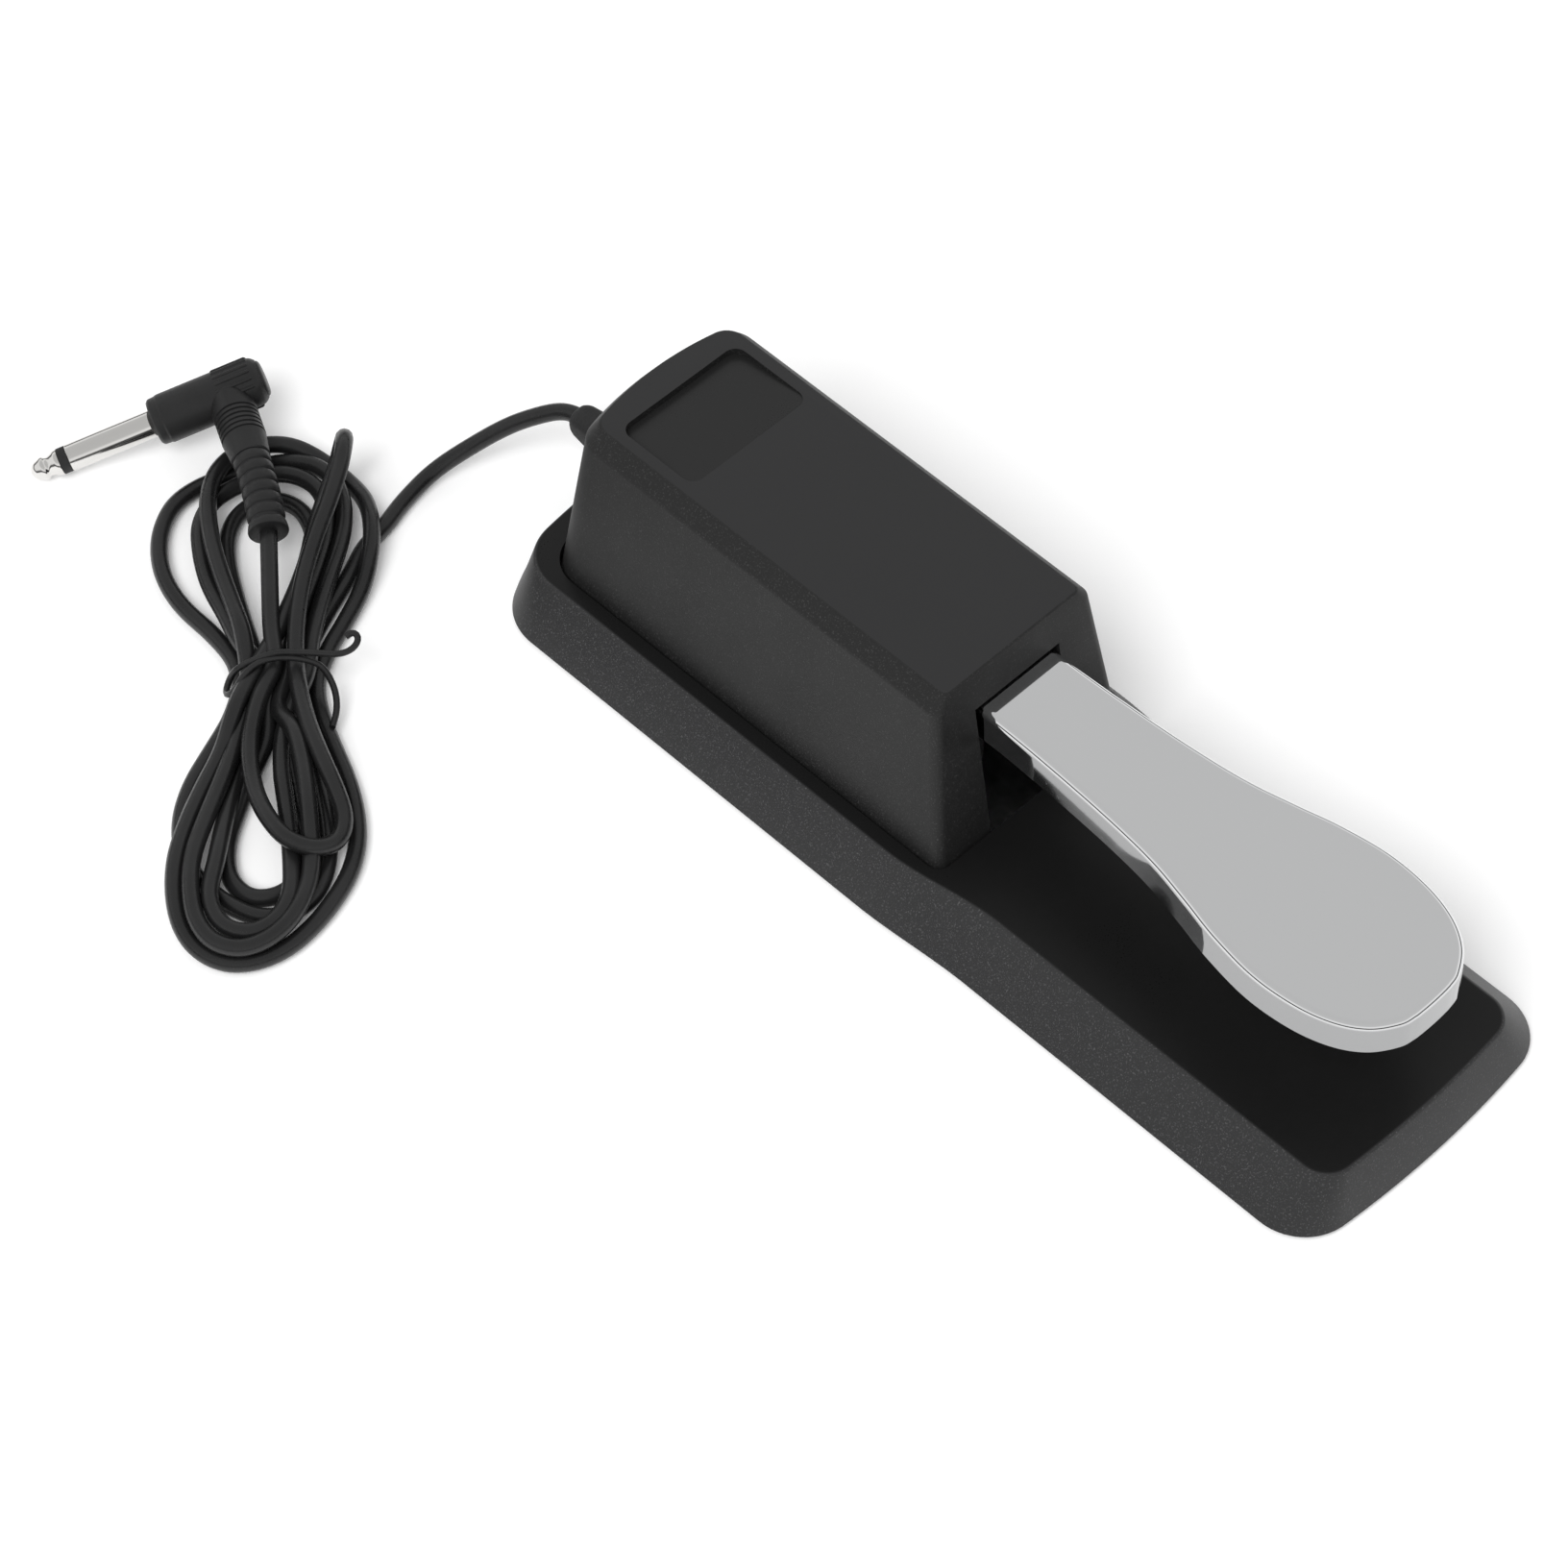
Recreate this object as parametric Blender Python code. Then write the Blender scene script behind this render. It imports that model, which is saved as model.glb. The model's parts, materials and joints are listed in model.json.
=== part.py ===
"""Sustain pedal: a weighted base, a housing with a spring-loaded chrome pedal and a switch, and a cord.

The toe of the pedal points to -Y and the cord leaves to +Y. The origin is on the floor, under the
middle of the base. All lengths below are metres, written as millimetres times MM.
"""
import math

import bmesh
import bpy
from mathutils import Matrix, Vector

MM = 0.001
GAP = 0.3 * MM

# Base: the flared black foot of the whole pedal.
FRONT_Y = -125.0 * MM
REAR_Y = 125.0 * MM
DECK_Z = 13.1 * MM
BASE_Z = 1.0 * MM
BASE_HALF_REAR = 41.3 * MM
BASE_HALF_FRONT = 39.7 * MM
SHELF_HALF = 33.3 * MM
DECK_HALF = 29.8 * MM
SHELF_REAR_Y = 118.2 * MM
DECK_FRONT_Y = -120.3 * MM
STEP_FROM_Y = 2.0 * MM
STEP_TO_Y = -28.0 * MM
STEP_POINTS = 5
RIM = 1.3 * MM
WALL = 2.5 * MM
BOTTOM_REAR_ROUND = (15.0 * MM, 66.0 * MM)
BOTTOM_FRONT_ROUND = (13.0 * MM, 264.0 * MM)
TOP_REAR_ROUND = (12.5 * MM, 200.0 * MM)
TOP_FRONT_ROUND = (7.0 * MM, 275.0 * MM)
HOUSING_CLEARANCE = 0.8 * MM

# Housing: the tall cover that the pedal comes out of.
FOOT_Z = 6.0 * MM
CHAMFER_Z = 53.1 * MM
TOP_Z = 57.1 * MM
FOOT_HALF = 28.7 * MM
CHAMFER_HALF = 23.8 * MM
TOP_HALF = 20.4 * MM
FOOT_FRONT_Y = -9.4 * MM
CHAMFER_FRONT_Y = -1.6 * MM
TOP_FRONT_Y = -0.8 * MM
FOOT_REAR_Y = 113.3 * MM
CHAMFER_REAR_Y = 108.2 * MM
TOP_REAR_Y = 105.6 * MM
REAR_BOW = 80.0 * MM
REAR_CORNERS = (9.0 * MM, 6.5 * MM, 4.6 * MM)
LEAST_CORNER = 0.6 * MM
HOUSING_WALL = 2.4 * MM
CEILING_Z = 54.1 * MM
SLOT_HALF = 12.8 * MM
SLOT_TOP_Z = 47.5 * MM
RECESS_HALF = 17.5 * MM
RECESS_Y = (76.0 * MM, 98.2 * MM)
RECESS_DEPTH = (0.15 * MM, 1.9 * MM)

# Pedal: a pressed plate with a rolled edge and a turned-down skirt.
PEDAL_TOP_Z = 46.8 * MM
PEDAL_REAR_Y = 34.0 * MM
SKIRT = 8.4 * MM
SHEET = 1.4 * MM
ROLL = 1.9 * MM
ROLL_RINGS = 4
PEDAL_STATIONS = [
    (34.0, 12.1),
    (12.0, 12.1),
    (-10.0, 12.1),
    (-27.0, 12.8),
    (-42.0, 13.9),
    (-54.0, 15.4),
    (-65.0, 17.9),
    (-75.0, 20.4),
    (-87.0, 22.1),
    (-98.0, 21.4),
    (-106.5, 18.9),
    (-112.6, 14.8),
    (-116.4, 9.2),
    (-117.4, 5.0),
]

# Mechanism inside the housing.
PIVOT = Vector((0.0, 82.0, 34.0)) * MM
ARM_TOP_Z = 44.9 * MM
ARM_UNDER_Z = 37.9 * MM
ARM_FRONT_Y = 4.0 * MM
ARM_HALF = 8.0 * MM
HUB_HALF = 11.0 * MM
HUB_RADIUS = 8.0 * MM
SHAFT_RADIUS = 2.5 * MM
SHAFT_FIT = 0.12 * MM
PLATE_Z = (1.8 * MM, 3.0 * MM)
SPRING_Y = 44.0 * MM
SPRING_Z = (5.6 * MM, 37.6 * MM)
SPRING_RADIUS = 5.6 * MM
SPRING_WIRE = 0.7 * MM
SPRING_TURNS = 6
SWITCH_Y = 60.0 * MM
STOP_Y = 44.0 * MM
BUMPER_Y = 14.0 * MM
LEVER_SCREW_Y = (12.0 * MM, 26.0 * MM)
BASE_SCREWS = [(27.0, -70.0), (32.2, 70.0)]
BASE_BOSS = (2.3 * MM, 10.8 * MM)
HOUSING_SCREWS = [(17.0, 8.0), (16.0, 96.0)]
BRACKET_SCREW_X = 8.0 * MM
POST_X = 16.0 * MM
FEET = [(26.0, -100.0), (28.0, 98.0)]

# Cord, its strain relief, its hank and its plug.
CORD_RADIUS = 2.0 * MM
CORD_Z = 21.6 * MM
RELIEF_END_Y = 130.3 * MM
LEAD_ROUTE = [
    (0.0, 130.8, 21.6),
    (-0.3, 133.0, 21.2),
    (-1.6, 135.8, 19.9),
    (-4.1, 138.9, 18.0),
    (-7.7, 142.9, 15.0),
    (-12.0, 146.5, 11.4),
    (-15.9, 149.2, 8.2),
    (-19.7, 151.2, 5.8),
    (-22.9, 152.3, 4.2),
    (-26.8, 152.7, 3.0),
    (-32.0, 152.1, 2.3),
]
HANK_TOP = Vector((-39.5, 187.8, 0.0)) * MM
HANK_YAW = math.radians(-131.8)
HANK_STATIONS = [
    (7.5, -7.0, 6.0),
    (12.0, -15.0, 12.0),
    (18.0, -23.0, 18.0),
    (26.0, -28.0, 22.5),
    (38.0, -29.0, 23.5),
    (50.0, -24.5, 21.0),
    (60.0, -17.0, 16.5),
    (68.0, -12.0, 12.5),
    (76.0, -11.0, 11.0),
    (86.0, -13.0, 12.5),
    (100.0, -17.5, 17.0),
    (114.0, -22.0, 19.5),
    (128.0, -24.5, 18.0),
    (140.0, -23.5, 10.5),
    (147.0, -19.0, 4.0),
    (151.0, -12.5, -4.0),
]
HANK_Z = (0.4 * MM, 8.0 * MM)
WAIST_FROM = 58.0 * MM
WAIST_TO = 92.0 * MM
WAIST_HALF = 8.5 * MM
WAIST_TOP_Z = 11.8 * MM
TIE_AT = 76.0 * MM
TIE_RADIUS = 0.8 * MM
PLUG_TIP = Vector((-88.8, 216.2, 2.7)) * MM
PLUG_YAW = math.radians(153.0)
PLUG_DROP = math.radians(14.4)
JACK_LENGTH = 30.0 * MM
PLUG_RADIUS = 5.75 * MM
PLUG_BACK = 26.3 * MM
BRANCH_BACK = 18.0 * MM
BRANCH_OUT = 21.0 * MM
BOOT_END = Vector((-67.8, 158.4, 13.4)) * MM

ROUND = 24
SMALL_ROUND = 12


# ---------------------------------------------------------------- helpers


def clear_scene():
    for item in list(bpy.data.objects):
        bpy.data.objects.remove(item, do_unlink=True)


def material(name, colour, roughness, metallic=0.0):
    """A plain Principled material; pieces of one finish share it."""
    found = bpy.data.materials.get(name)
    if found:
        return found
    made = bpy.data.materials.new(name)
    made.use_nodes = True
    shader = made.node_tree.nodes["Principled BSDF"]
    shader.inputs["Base Color"].default_value = (*colour, 1.0)
    shader.inputs["Roughness"].default_value = roughness
    shader.inputs["Metallic"].default_value = metallic
    return made


def base_plastic():
    return material("base_plastic", (0.020, 0.020, 0.021), 0.42)


def housing_plastic():
    return material("housing_plastic", (0.028, 0.028, 0.029), 0.48)


def chrome():
    return material("chrome", (0.80, 0.80, 0.81), 0.06, 1.0)


def steel():
    return material("zinc_steel", (0.56, 0.57, 0.58), 0.35, 1.0)


def rubber():
    return material("rubber", (0.015, 0.015, 0.015), 0.85)


def nylon():
    return material("nylon", (0.05, 0.05, 0.052), 0.55)


def brass():
    return material("brass", (0.78, 0.60, 0.28), 0.3, 1.0)


def board():
    return material("circuit_board", (0.04, 0.18, 0.08), 0.5)


def cord_vinyl():
    return material("cord_vinyl", (0.018, 0.018, 0.018), 0.45)


def nickel():
    return material("nickel", (0.74, 0.73, 0.71), 0.12, 1.0)


def add_object(name, mesh, finish):
    made = bpy.data.objects.new(name, mesh)
    bpy.context.scene.collection.objects.link(made)
    mesh.materials.clear()
    mesh.materials.append(finish)
    return made


def from_bmesh(name, shape, finish):
    """Make an object of a bmesh, with its faces turned outward."""
    bmesh.ops.recalc_face_normals(shape, faces=shape.faces)
    mesh = bpy.data.meshes.new(name)
    shape.to_mesh(mesh)
    shape.free()
    return add_object(name, mesh, finish)


def smooth(item, degrees=35.0):
    item.data.shade_smooth()
    item.data.set_sharp_from_angle(angle=math.radians(degrees))
    return item


def loft_into(shape, rings):
    """Skin a list of rings, each with as many points, and close both ends."""
    rows = [[shape.verts.new(point) for point in ring] for ring in rings]
    count = len(rows[0])
    for low, high in zip(rows, rows[1:]):
        for i in range(count):
            j = (i + 1) % count
            shape.faces.new((low[i], low[j], high[j], high[i]))
    shape.faces.new(rows[0])
    shape.faces.new(rows[-1])


def loft(name, rings, finish):
    shape = bmesh.new()
    loft_into(shape, rings)
    return from_bmesh(name, shape, finish)


def lift(outline, z):
    """Set a flat outline of (x, y) points at height z."""
    return [Vector((x, y, z)) for x, y in outline]


def prism(name, outline, z_low, z_high, finish):
    return loft(name, [lift(outline, z_low), lift(outline, z_high)], finish)


def box_into(shape, low, high):
    corners = [(low[0], low[1]), (high[0], low[1]), (high[0], high[1]), (low[0], high[1])]
    loft_into(shape, [lift(corners, low[2]), lift(corners, high[2])])


def box(name, low, high, finish):
    shape = bmesh.new()
    box_into(shape, low, high)
    return from_bmesh(name, shape, finish)


def circle(radius, centre=(0.0, 0.0), count=ROUND):
    turn = 2.0 * math.pi / count
    return [
        (centre[0] + radius * math.cos(turn * i), centre[1] + radius * math.sin(turn * i))
        for i in range(count)
    ]


def post_into(shape, x, y, radius, z_low, z_high, count=ROUND):
    outline = circle(radius, (x, y), count)
    loft_into(shape, [lift(outline, z_low), lift(outline, z_high)])


def turned(name, profile, finish, turn=None, count=ROUND):
    """A solid turned about its own Z axis from (radius, z) points, then placed by a matrix."""
    shape = bmesh.new()
    loft_into(shape, [lift(circle(radius, count=count), z) for radius, z in profile])
    if turn is not None:
        bmesh.ops.transform(shape, matrix=turn, verts=shape.verts)
    return from_bmesh(name, shape, finish)


def ring_solid(name, outer, inner, length, finish, turn=None, count=ROUND):
    """A tube with open ends: a closed loop of four rings about its own Z axis."""
    shape = bmesh.new()
    rows = []
    for radius, z in ((inner, 0.0), (outer, 0.0), (outer, length), (inner, length)):
        rows.append([shape.verts.new((x, y, z)) for x, y in circle(radius, count=count)])
    for low, high in zip(rows, rows[1:] + rows[:1]):
        for i in range(count):
            j = (i + 1) % count
            shape.faces.new((low[i], low[j], high[j], high[i]))
    if turn is not None:
        bmesh.ops.transform(shape, matrix=turn, verts=shape.verts)
    return smooth(from_bmesh(name, shape, finish))


def along_x(x, y, z):
    """Lay a turned piece's own Z axis along +X, starting at a point."""
    return Matrix.Translation((x, y, z)) @ Matrix.Rotation(math.radians(90.0), 4, "Y")


def boolean(target, tool, operation):
    """Join or cut with another object, keep the result and drop the tool."""
    step = target.modifiers.new("boolean", "BOOLEAN")
    step.object = tool
    step.operation = operation
    step.solver = "EXACT"
    shown = target.evaluated_get(bpy.context.evaluated_depsgraph_get())
    mesh = bpy.data.meshes.new_from_object(shown)
    target.modifiers.clear()
    target.data = mesh
    bpy.data.objects.remove(tool, do_unlink=True)
    return target


def cut(target, tool):
    return boolean(target, tool, "DIFFERENCE")


def join(target, tool):
    return boolean(target, tool, "UNION")


def spline(points, steps):
    """Points of a smooth Catmull-Rom curve through all the given points."""
    first = points[0] * 2.0 - points[1]
    last = points[-1] * 2.0 - points[-2]
    padded = [first, *points, last]
    found = []
    for a, b, c, d in zip(padded, padded[1:], padded[2:], padded[3:]):
        for i in range(steps):
            t = i / steps
            found.append(
                0.5 * (2.0 * b + (c - a) * t + (2.0 * a - 5.0 * b + 4.0 * c - d) * t * t
                       + (3.0 * b - 3.0 * c + d - a) * t ** 3)
            )
    found.append(points[-1].copy())
    return found


def cord_tube(name, route, steps, radius, finish, resolution=2):
    """A cord as a curve object with a round bevel and filled ends."""
    points = spline([Vector(point) for point in route], steps)
    curve = bpy.data.curves.new(name, "CURVE")
    curve.dimensions = "3D"
    curve.bevel_depth = radius
    curve.bevel_resolution = resolution
    curve.use_fill_caps = True
    line = curve.splines.new("POLY")
    line.points.add(len(points) - 1)
    for slot, point in zip(line.points, points):
        slot.co = (*point, 1.0)
    curve.materials.append(finish)
    made = bpy.data.objects.new(name, curve)
    bpy.context.scene.collection.objects.link(made)
    return made


def millimetres(points):
    return [Vector(point) * MM for point in points]


# ---------------------------------------------------------------- outlines


def arc(centre, radius, start, end, steps):
    """Points of an arc, both ends included; angles in degrees."""
    found = []
    for i in range(steps + 1):
        angle = math.radians(start + (end - start) * i / steps)
        found.append((centre[0] + radius * math.cos(angle), centre[1] + radius * math.sin(angle)))
    return found


def corner_centre(half, corner, bow):
    """How far a corner's centre lies from the bow's centre, across and along, and its angle."""
    across = half - corner
    along = math.sqrt((bow - corner) ** 2 - across ** 2)
    return along, math.degrees(math.atan2(along, across))


def plan(halves, ends, rear_round, front_round, inset):
    """Outline seen from above, with bowed ends, round corners and an S-shaped step in its sides.

    halves and ends give the rear's value and then the front's. A round is the radius of an end's
    corners and of its bow. The whole outline is moved inward by inset.
    """
    half_rear, half_front = (half - inset for half in halves)
    corner, bow = (radius - inset for radius in rear_round)
    along, angle = corner_centre(half_rear, corner, bow)
    middle = ends[0] - inset - bow
    left = arc((0.0, middle), bow, 90.0, 180.0 - angle, 4)
    left += arc((corner - half_rear, middle + along), corner, 180.0 - angle, 180.0, 6)[1:]
    for i in range(STEP_POINTS + 1):
        t = i / STEP_POINTS
        y = STEP_FROM_Y + (STEP_TO_Y - STEP_FROM_Y) * t
        left.append((-(half_rear + (half_front - half_rear) * t * t * (3.0 - 2.0 * t)), y))
    corner, bow = (radius - inset for radius in front_round)
    along, angle = corner_centre(half_front, corner, bow)
    middle = ends[1] + inset + bow
    left += arc((corner - half_front, middle - along), corner, 180.0, 180.0 + angle, 6)
    left += arc((0.0, middle), bow, 180.0 + angle, 270.0, 4)[1:]
    return left + [(-x, y) for x, y in reversed(left[1:-1])]


def round_box(half_x, half_y, corner):
    """A rectangle with round corners, about its own middle."""
    across, along = half_x - corner, half_y - corner
    points = arc((across, along), corner, 0.0, 90.0, 4)
    points += arc((-across, along), corner, 90.0, 180.0, 4)
    points += arc((-across, -along), corner, 180.0, 270.0, 4)
    return points + arc((across, -along), corner, 270.0, 360.0, 4)


def blend(ring_a, ring_b, t):
    return [a.lerp(b, t) for a, b in zip(ring_a, ring_b)]


def rounded_edge(ring_a, edge, ring_b, steps):
    """Rings that turn smoothly from one ring to another round an edge ring."""
    rings = []
    for i in range(steps + 1):
        t = i / steps
        rings.append(blend(blend(ring_a, edge, t), blend(edge, ring_b, t), t))
    return rings


def base_bottom(inset):
    halves = (BASE_HALF_REAR, BASE_HALF_FRONT)
    return plan(halves, (REAR_Y, FRONT_Y), BOTTOM_REAR_ROUND, BOTTOM_FRONT_ROUND, inset)


def base_top(inset):
    halves = (SHELF_HALF, DECK_HALF)
    return plan(halves, (SHELF_REAR_Y, DECK_FRONT_Y), TOP_REAR_ROUND, TOP_FRONT_ROUND, inset)


def housing_plan(half, rear_y, front_y, rear_corner, front_corner):
    """Outline of the housing at one height: bowed at the rear, flat at the front."""
    along, angle = corner_centre(half, rear_corner, REAR_BOW)
    middle = rear_y - REAR_BOW
    left = arc((0.0, middle), REAR_BOW, 90.0, 180.0 - angle, 4)
    left += arc((rear_corner - half, middle + along), rear_corner, 180.0 - angle, 180.0, 5)[1:]
    left += arc((front_corner - half, front_y + front_corner), front_corner, 180.0, 270.0, 3)
    left.append((0.0, front_y))
    return left + [(-x, y) for x, y in reversed(left[1:-1])]


def housing_at(z, inset):
    """Outline of the leaning housing walls at a height, moved inward by inset."""
    t = (z - DECK_Z) / (CHAMFER_Z - DECK_Z)
    half = FOOT_HALF + (CHAMFER_HALF - FOOT_HALF) * t - inset
    rear_y = FOOT_REAR_Y + (CHAMFER_REAR_Y - FOOT_REAR_Y) * t - inset
    front_y = FOOT_FRONT_Y + (CHAMFER_FRONT_Y - FOOT_FRONT_Y) * t + inset
    rear_corner = REAR_CORNERS[0] + (REAR_CORNERS[1] - REAR_CORNERS[0]) * t - inset
    front_corner = max(2.6 * MM - inset, LEAST_CORNER)
    return housing_plan(half, rear_y, front_y, rear_corner, front_corner)


def housing_top(inset):
    front_corner = max(1.6 * MM - inset, LEAST_CORNER)
    return housing_plan(
        TOP_HALF - inset, TOP_REAR_Y - inset, TOP_FRONT_Y + inset, REAR_CORNERS[2] - inset, front_corner
    )


# ---------------------------------------------------------------- base


def make_base_shell():
    """Flared shell, open below, with an opening in the deck for the housing."""
    bottom = lift(base_bottom(0.0), BASE_Z)
    edge = lift(base_top(0.0), DECK_Z)
    near = blend(edge, bottom, RIM / (DECK_Z - BASE_Z))
    rings = [bottom] + rounded_edge(near, edge, lift(base_top(RIM), DECK_Z), 3)
    shell = loft("base_shell", rings, base_plastic())
    below = lift(base_bottom(WALL), BASE_Z - 2.0 * MM)
    inner = lift(base_bottom(WALL), BASE_Z)
    up = (DECK_Z - WALL - BASE_Z) / (DECK_Z - BASE_Z)
    ceiling = blend(inner, lift(base_top(WALL), DECK_Z), up)
    cut(shell, loft("base_hollow", [below, inner, ceiling], base_plastic()))
    join(shell, base_bosses())
    opening = housing_at(DECK_Z, -HOUSING_CLEARANCE)
    cut(shell, prism("housing_opening", opening, 8.0 * MM, 16.0 * MM, base_plastic()))
    cut(shell, screw_bores("base_bores", BASE_SCREWS, 9.6 * MM))
    return smooth(shell)


def both_sides(places):
    """Each (x, y) in millimetres, on the right side and then on the left."""
    for x, y in places:
        for side in (1.0, -1.0):
            yield side * x * MM, y * MM


def base_bosses():
    shape = bmesh.new()
    for x, y in both_sides(BASE_SCREWS):
        post_into(shape, x, y, BASE_BOSS[0], PLATE_Z[1] + GAP, BASE_BOSS[1], SMALL_ROUND)
    return from_bmesh("base_bosses", shape, base_plastic())


def screw_bores(name, places, top_z):
    """Cutters for the screws' shanks, from below the bottom plate up to a height."""
    shape = bmesh.new()
    for x, y in both_sides(places):
        post_into(shape, x, y, 1.6 * MM, 0.5 * MM, top_z, SMALL_ROUND)
    return from_bmesh(name, shape, base_plastic())


def make_bottom_plate():
    plate = prism("bottom_plate", base_bottom(4.9 * MM), *PLATE_Z, steel())
    cut(plate, screw_bores("base_bores", BASE_SCREWS + HOUSING_SCREWS, 5.0 * MM))
    shape = bmesh.new()
    for side in (1.0, -1.0):
        post_into(shape, side * BRACKET_SCREW_X, PIVOT.y, 1.6 * MM, 0.5 * MM, 5.0 * MM, SMALL_ROUND)
    return cut(plate, from_bmesh("bracket_bores", shape, steel()))


def make_feet():
    names = ("front_right", "front_left", "rear_right", "rear_left")
    for name, (x, y) in zip(names, both_sides(FEET)):
        profile = [(6.2 * MM, 0.0), (7.0 * MM, 0.6 * MM), (7.0 * MM, PLATE_Z[0] - GAP)]
        smooth(turned("foot_" + name, profile, rubber(), Matrix.Translation((x, y, 0.0))))


def make_screws(prefix, places, tip_z):
    """Pan-head screws that come up through the bottom plate."""
    names = ("front_right", "front_left", "rear_right", "rear_left")
    head, shank = 2.9 * MM, 1.3 * MM
    under = PLATE_Z[0] - GAP
    profile = [(2.3 * MM, 0.5 * MM), (head, 0.9 * MM), (head, under), (shank, under), (shank, tip_z)]
    for name, (x, y) in zip(names, both_sides(places)):
        smooth(turned(prefix + name, profile, steel(), Matrix.Translation((x, y, 0.0)), SMALL_ROUND))


def make_ballast():
    """Steel bar under the front deck, which keeps the pedal from creeping or tipping."""
    low = (-21.0 * MM, -106.0 * MM, PLATE_Z[1] + GAP)
    return box("ballast_weight", low, (21.0 * MM, -20.0 * MM, 9.4 * MM), steel())


# ---------------------------------------------------------------- housing


def make_housing():
    walls = [lift(housing_at(FOOT_Z, 0.0), FOOT_Z), lift(housing_at(CHAMFER_Z, 0.0), CHAMFER_Z)]
    cover = loft("housing_cover", walls + [lift(housing_top(0.0), TOP_Z)], housing_plastic())
    cut(cover, housing_hollow())
    join(cover, housing_ribs())
    cut(cover, housing_openings())
    cut(cover, label_recess())
    return smooth(cover, 25.0)


def housing_hollow():
    inside = HOUSING_WALL
    drop = TOP_Z - CEILING_Z
    rings = [
        lift(housing_at(FOOT_Z - 2.0 * MM, inside), FOOT_Z - 2.0 * MM),
        lift(housing_at(CHAMFER_Z - drop, inside), CHAMFER_Z - drop),
        lift(housing_top(1.2 * MM), CEILING_Z),
    ]
    return loft("housing_hollow", rings, housing_plastic())


def housing_ribs():
    """Screw bosses and the rib that carries the upper stop, all grown from the ceiling."""
    shape = bmesh.new()
    for x, y in both_sides(HOUSING_SCREWS):
        post_into(shape, x, y, 3.0 * MM, PLATE_Z[1] + GAP, CEILING_Z + 1.0 * MM, SMALL_ROUND)
    half = (9.0 * MM, 6.0 * MM)
    box_into(shape, (-half[0], STOP_Y - half[1], 48.0 * MM),
             (half[0], STOP_Y + half[1], CEILING_Z + 1.0 * MM))
    return from_bmesh("housing_ribs", shape, housing_plastic())


def housing_openings():
    """The pedal's slot, the screw bores and the hole for the strain relief."""
    shape = bmesh.new()
    box_into(shape, (-SLOT_HALF, -20.0 * MM, 0.0), (SLOT_HALF, 4.5 * MM, SLOT_TOP_Z))
    for x, y in both_sides(HOUSING_SCREWS):
        post_into(shape, x, y, 1.6 * MM, 0.0, 13.0 * MM, SMALL_ROUND)
    hole = 4.3 * MM
    box_into(shape, (-hole, 104.0 * MM, CORD_Z - hole), (hole, 120.0 * MM, CORD_Z + hole))
    return from_bmesh("housing_openings", shape, housing_plastic())


def label_recess():
    """Blank label panel: deep at the rear, rising to the surface at its front."""
    front_y, rear_y = RECESS_Y
    middle = (front_y + rear_y) / 2.0
    outline = [(x, middle + y) for x, y in round_box(RECESS_HALF, (rear_y - front_y) / 2.0, 3.0 * MM)]
    floor = []
    for x, y in outline:
        t = (y - front_y) / (rear_y - front_y)
        depth = RECESS_DEPTH[0] + (RECESS_DEPTH[1] - RECESS_DEPTH[0]) * t
        floor.append(Vector((x, y, TOP_Z - depth)))
    return loft("label_recess", [floor, lift(outline, TOP_Z + 2.0 * MM)], housing_plastic())


# ---------------------------------------------------------------- pedal


def pedal_outline():
    """Half-widths along the pedal, smoothed, mirrored and closed across the toe."""
    stations = [Vector((half * MM, y * MM, 0.0)) for y, half in PEDAL_STATIONS]
    right = [(point.x, point.y) for point in spline(stations, 2)]
    toe_y = right[-1][1]
    return right + [(0.0, toe_y)] + [(-x, y) for x, y in reversed(right)]


def inset_outline(outline, distance):
    """Move a closed outline inward along the normals of its neighbouring points."""
    count = len(outline)
    moved = []
    for i, (x, y) in enumerate(outline):
        before = outline[i - 1]
        after = outline[(i + 1) % count]
        run = Vector((after[0] - before[0], after[1] - before[1]))
        normal = Vector((run.y, -run.x)).normalized()
        moved.append((x + normal.x * distance, y + normal.y * distance))
    return moved


def make_pedal_plate():
    """Pressed sheet: flat top, rolled edge, skirt, open below and at its hidden rear end."""
    outer = pedal_outline()
    foot_z = PEDAL_TOP_Z - SKIRT
    rings = [lift(outer, foot_z)]
    for i in range(ROLL_RINGS):
        angle = math.radians(90.0 * i / (ROLL_RINGS - 1))
        inset = ROLL * (1.0 - math.cos(angle))
        rings.append(lift(inset_outline(outer, inset), PEDAL_TOP_Z - ROLL * (1.0 - math.sin(angle))))
    plate = loft("pedal_plate", rings, chrome())
    inner_roll = ROLL - SHEET
    hollow = [lift(inset_outline(outer, SHEET), foot_z - 2.0 * MM)]
    hollow.append(lift(inset_outline(outer, SHEET), PEDAL_TOP_Z - SHEET - inner_roll))
    hollow.append(lift(inset_outline(outer, SHEET + inner_roll), PEDAL_TOP_Z - SHEET))
    cut(plate, loft("pedal_hollow", hollow, chrome()))
    rear = box("pedal_rear", (-20.0 * MM, PEDAL_REAR_Y - 4.0 * MM, 20.0 * MM),
               (20.0 * MM, 50.0 * MM, 60.0 * MM), chrome())
    cut(plate, rear)
    shape = bmesh.new()
    for y in LEVER_SCREW_Y:
        post_into(shape, 0.0, y, 2.1 * MM, 40.0 * MM, 50.0 * MM, SMALL_ROUND)
    cut(plate, from_bmesh("pedal_bores", shape, chrome()))
    return to_pivot(smooth(plate, 30.0))


def to_pivot(item):
    """Put a moving piece's origin on the hinge line without moving its surface."""
    item.data.transform(Matrix.Translation(-PIVOT))
    item.location = PIVOT
    return item


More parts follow.
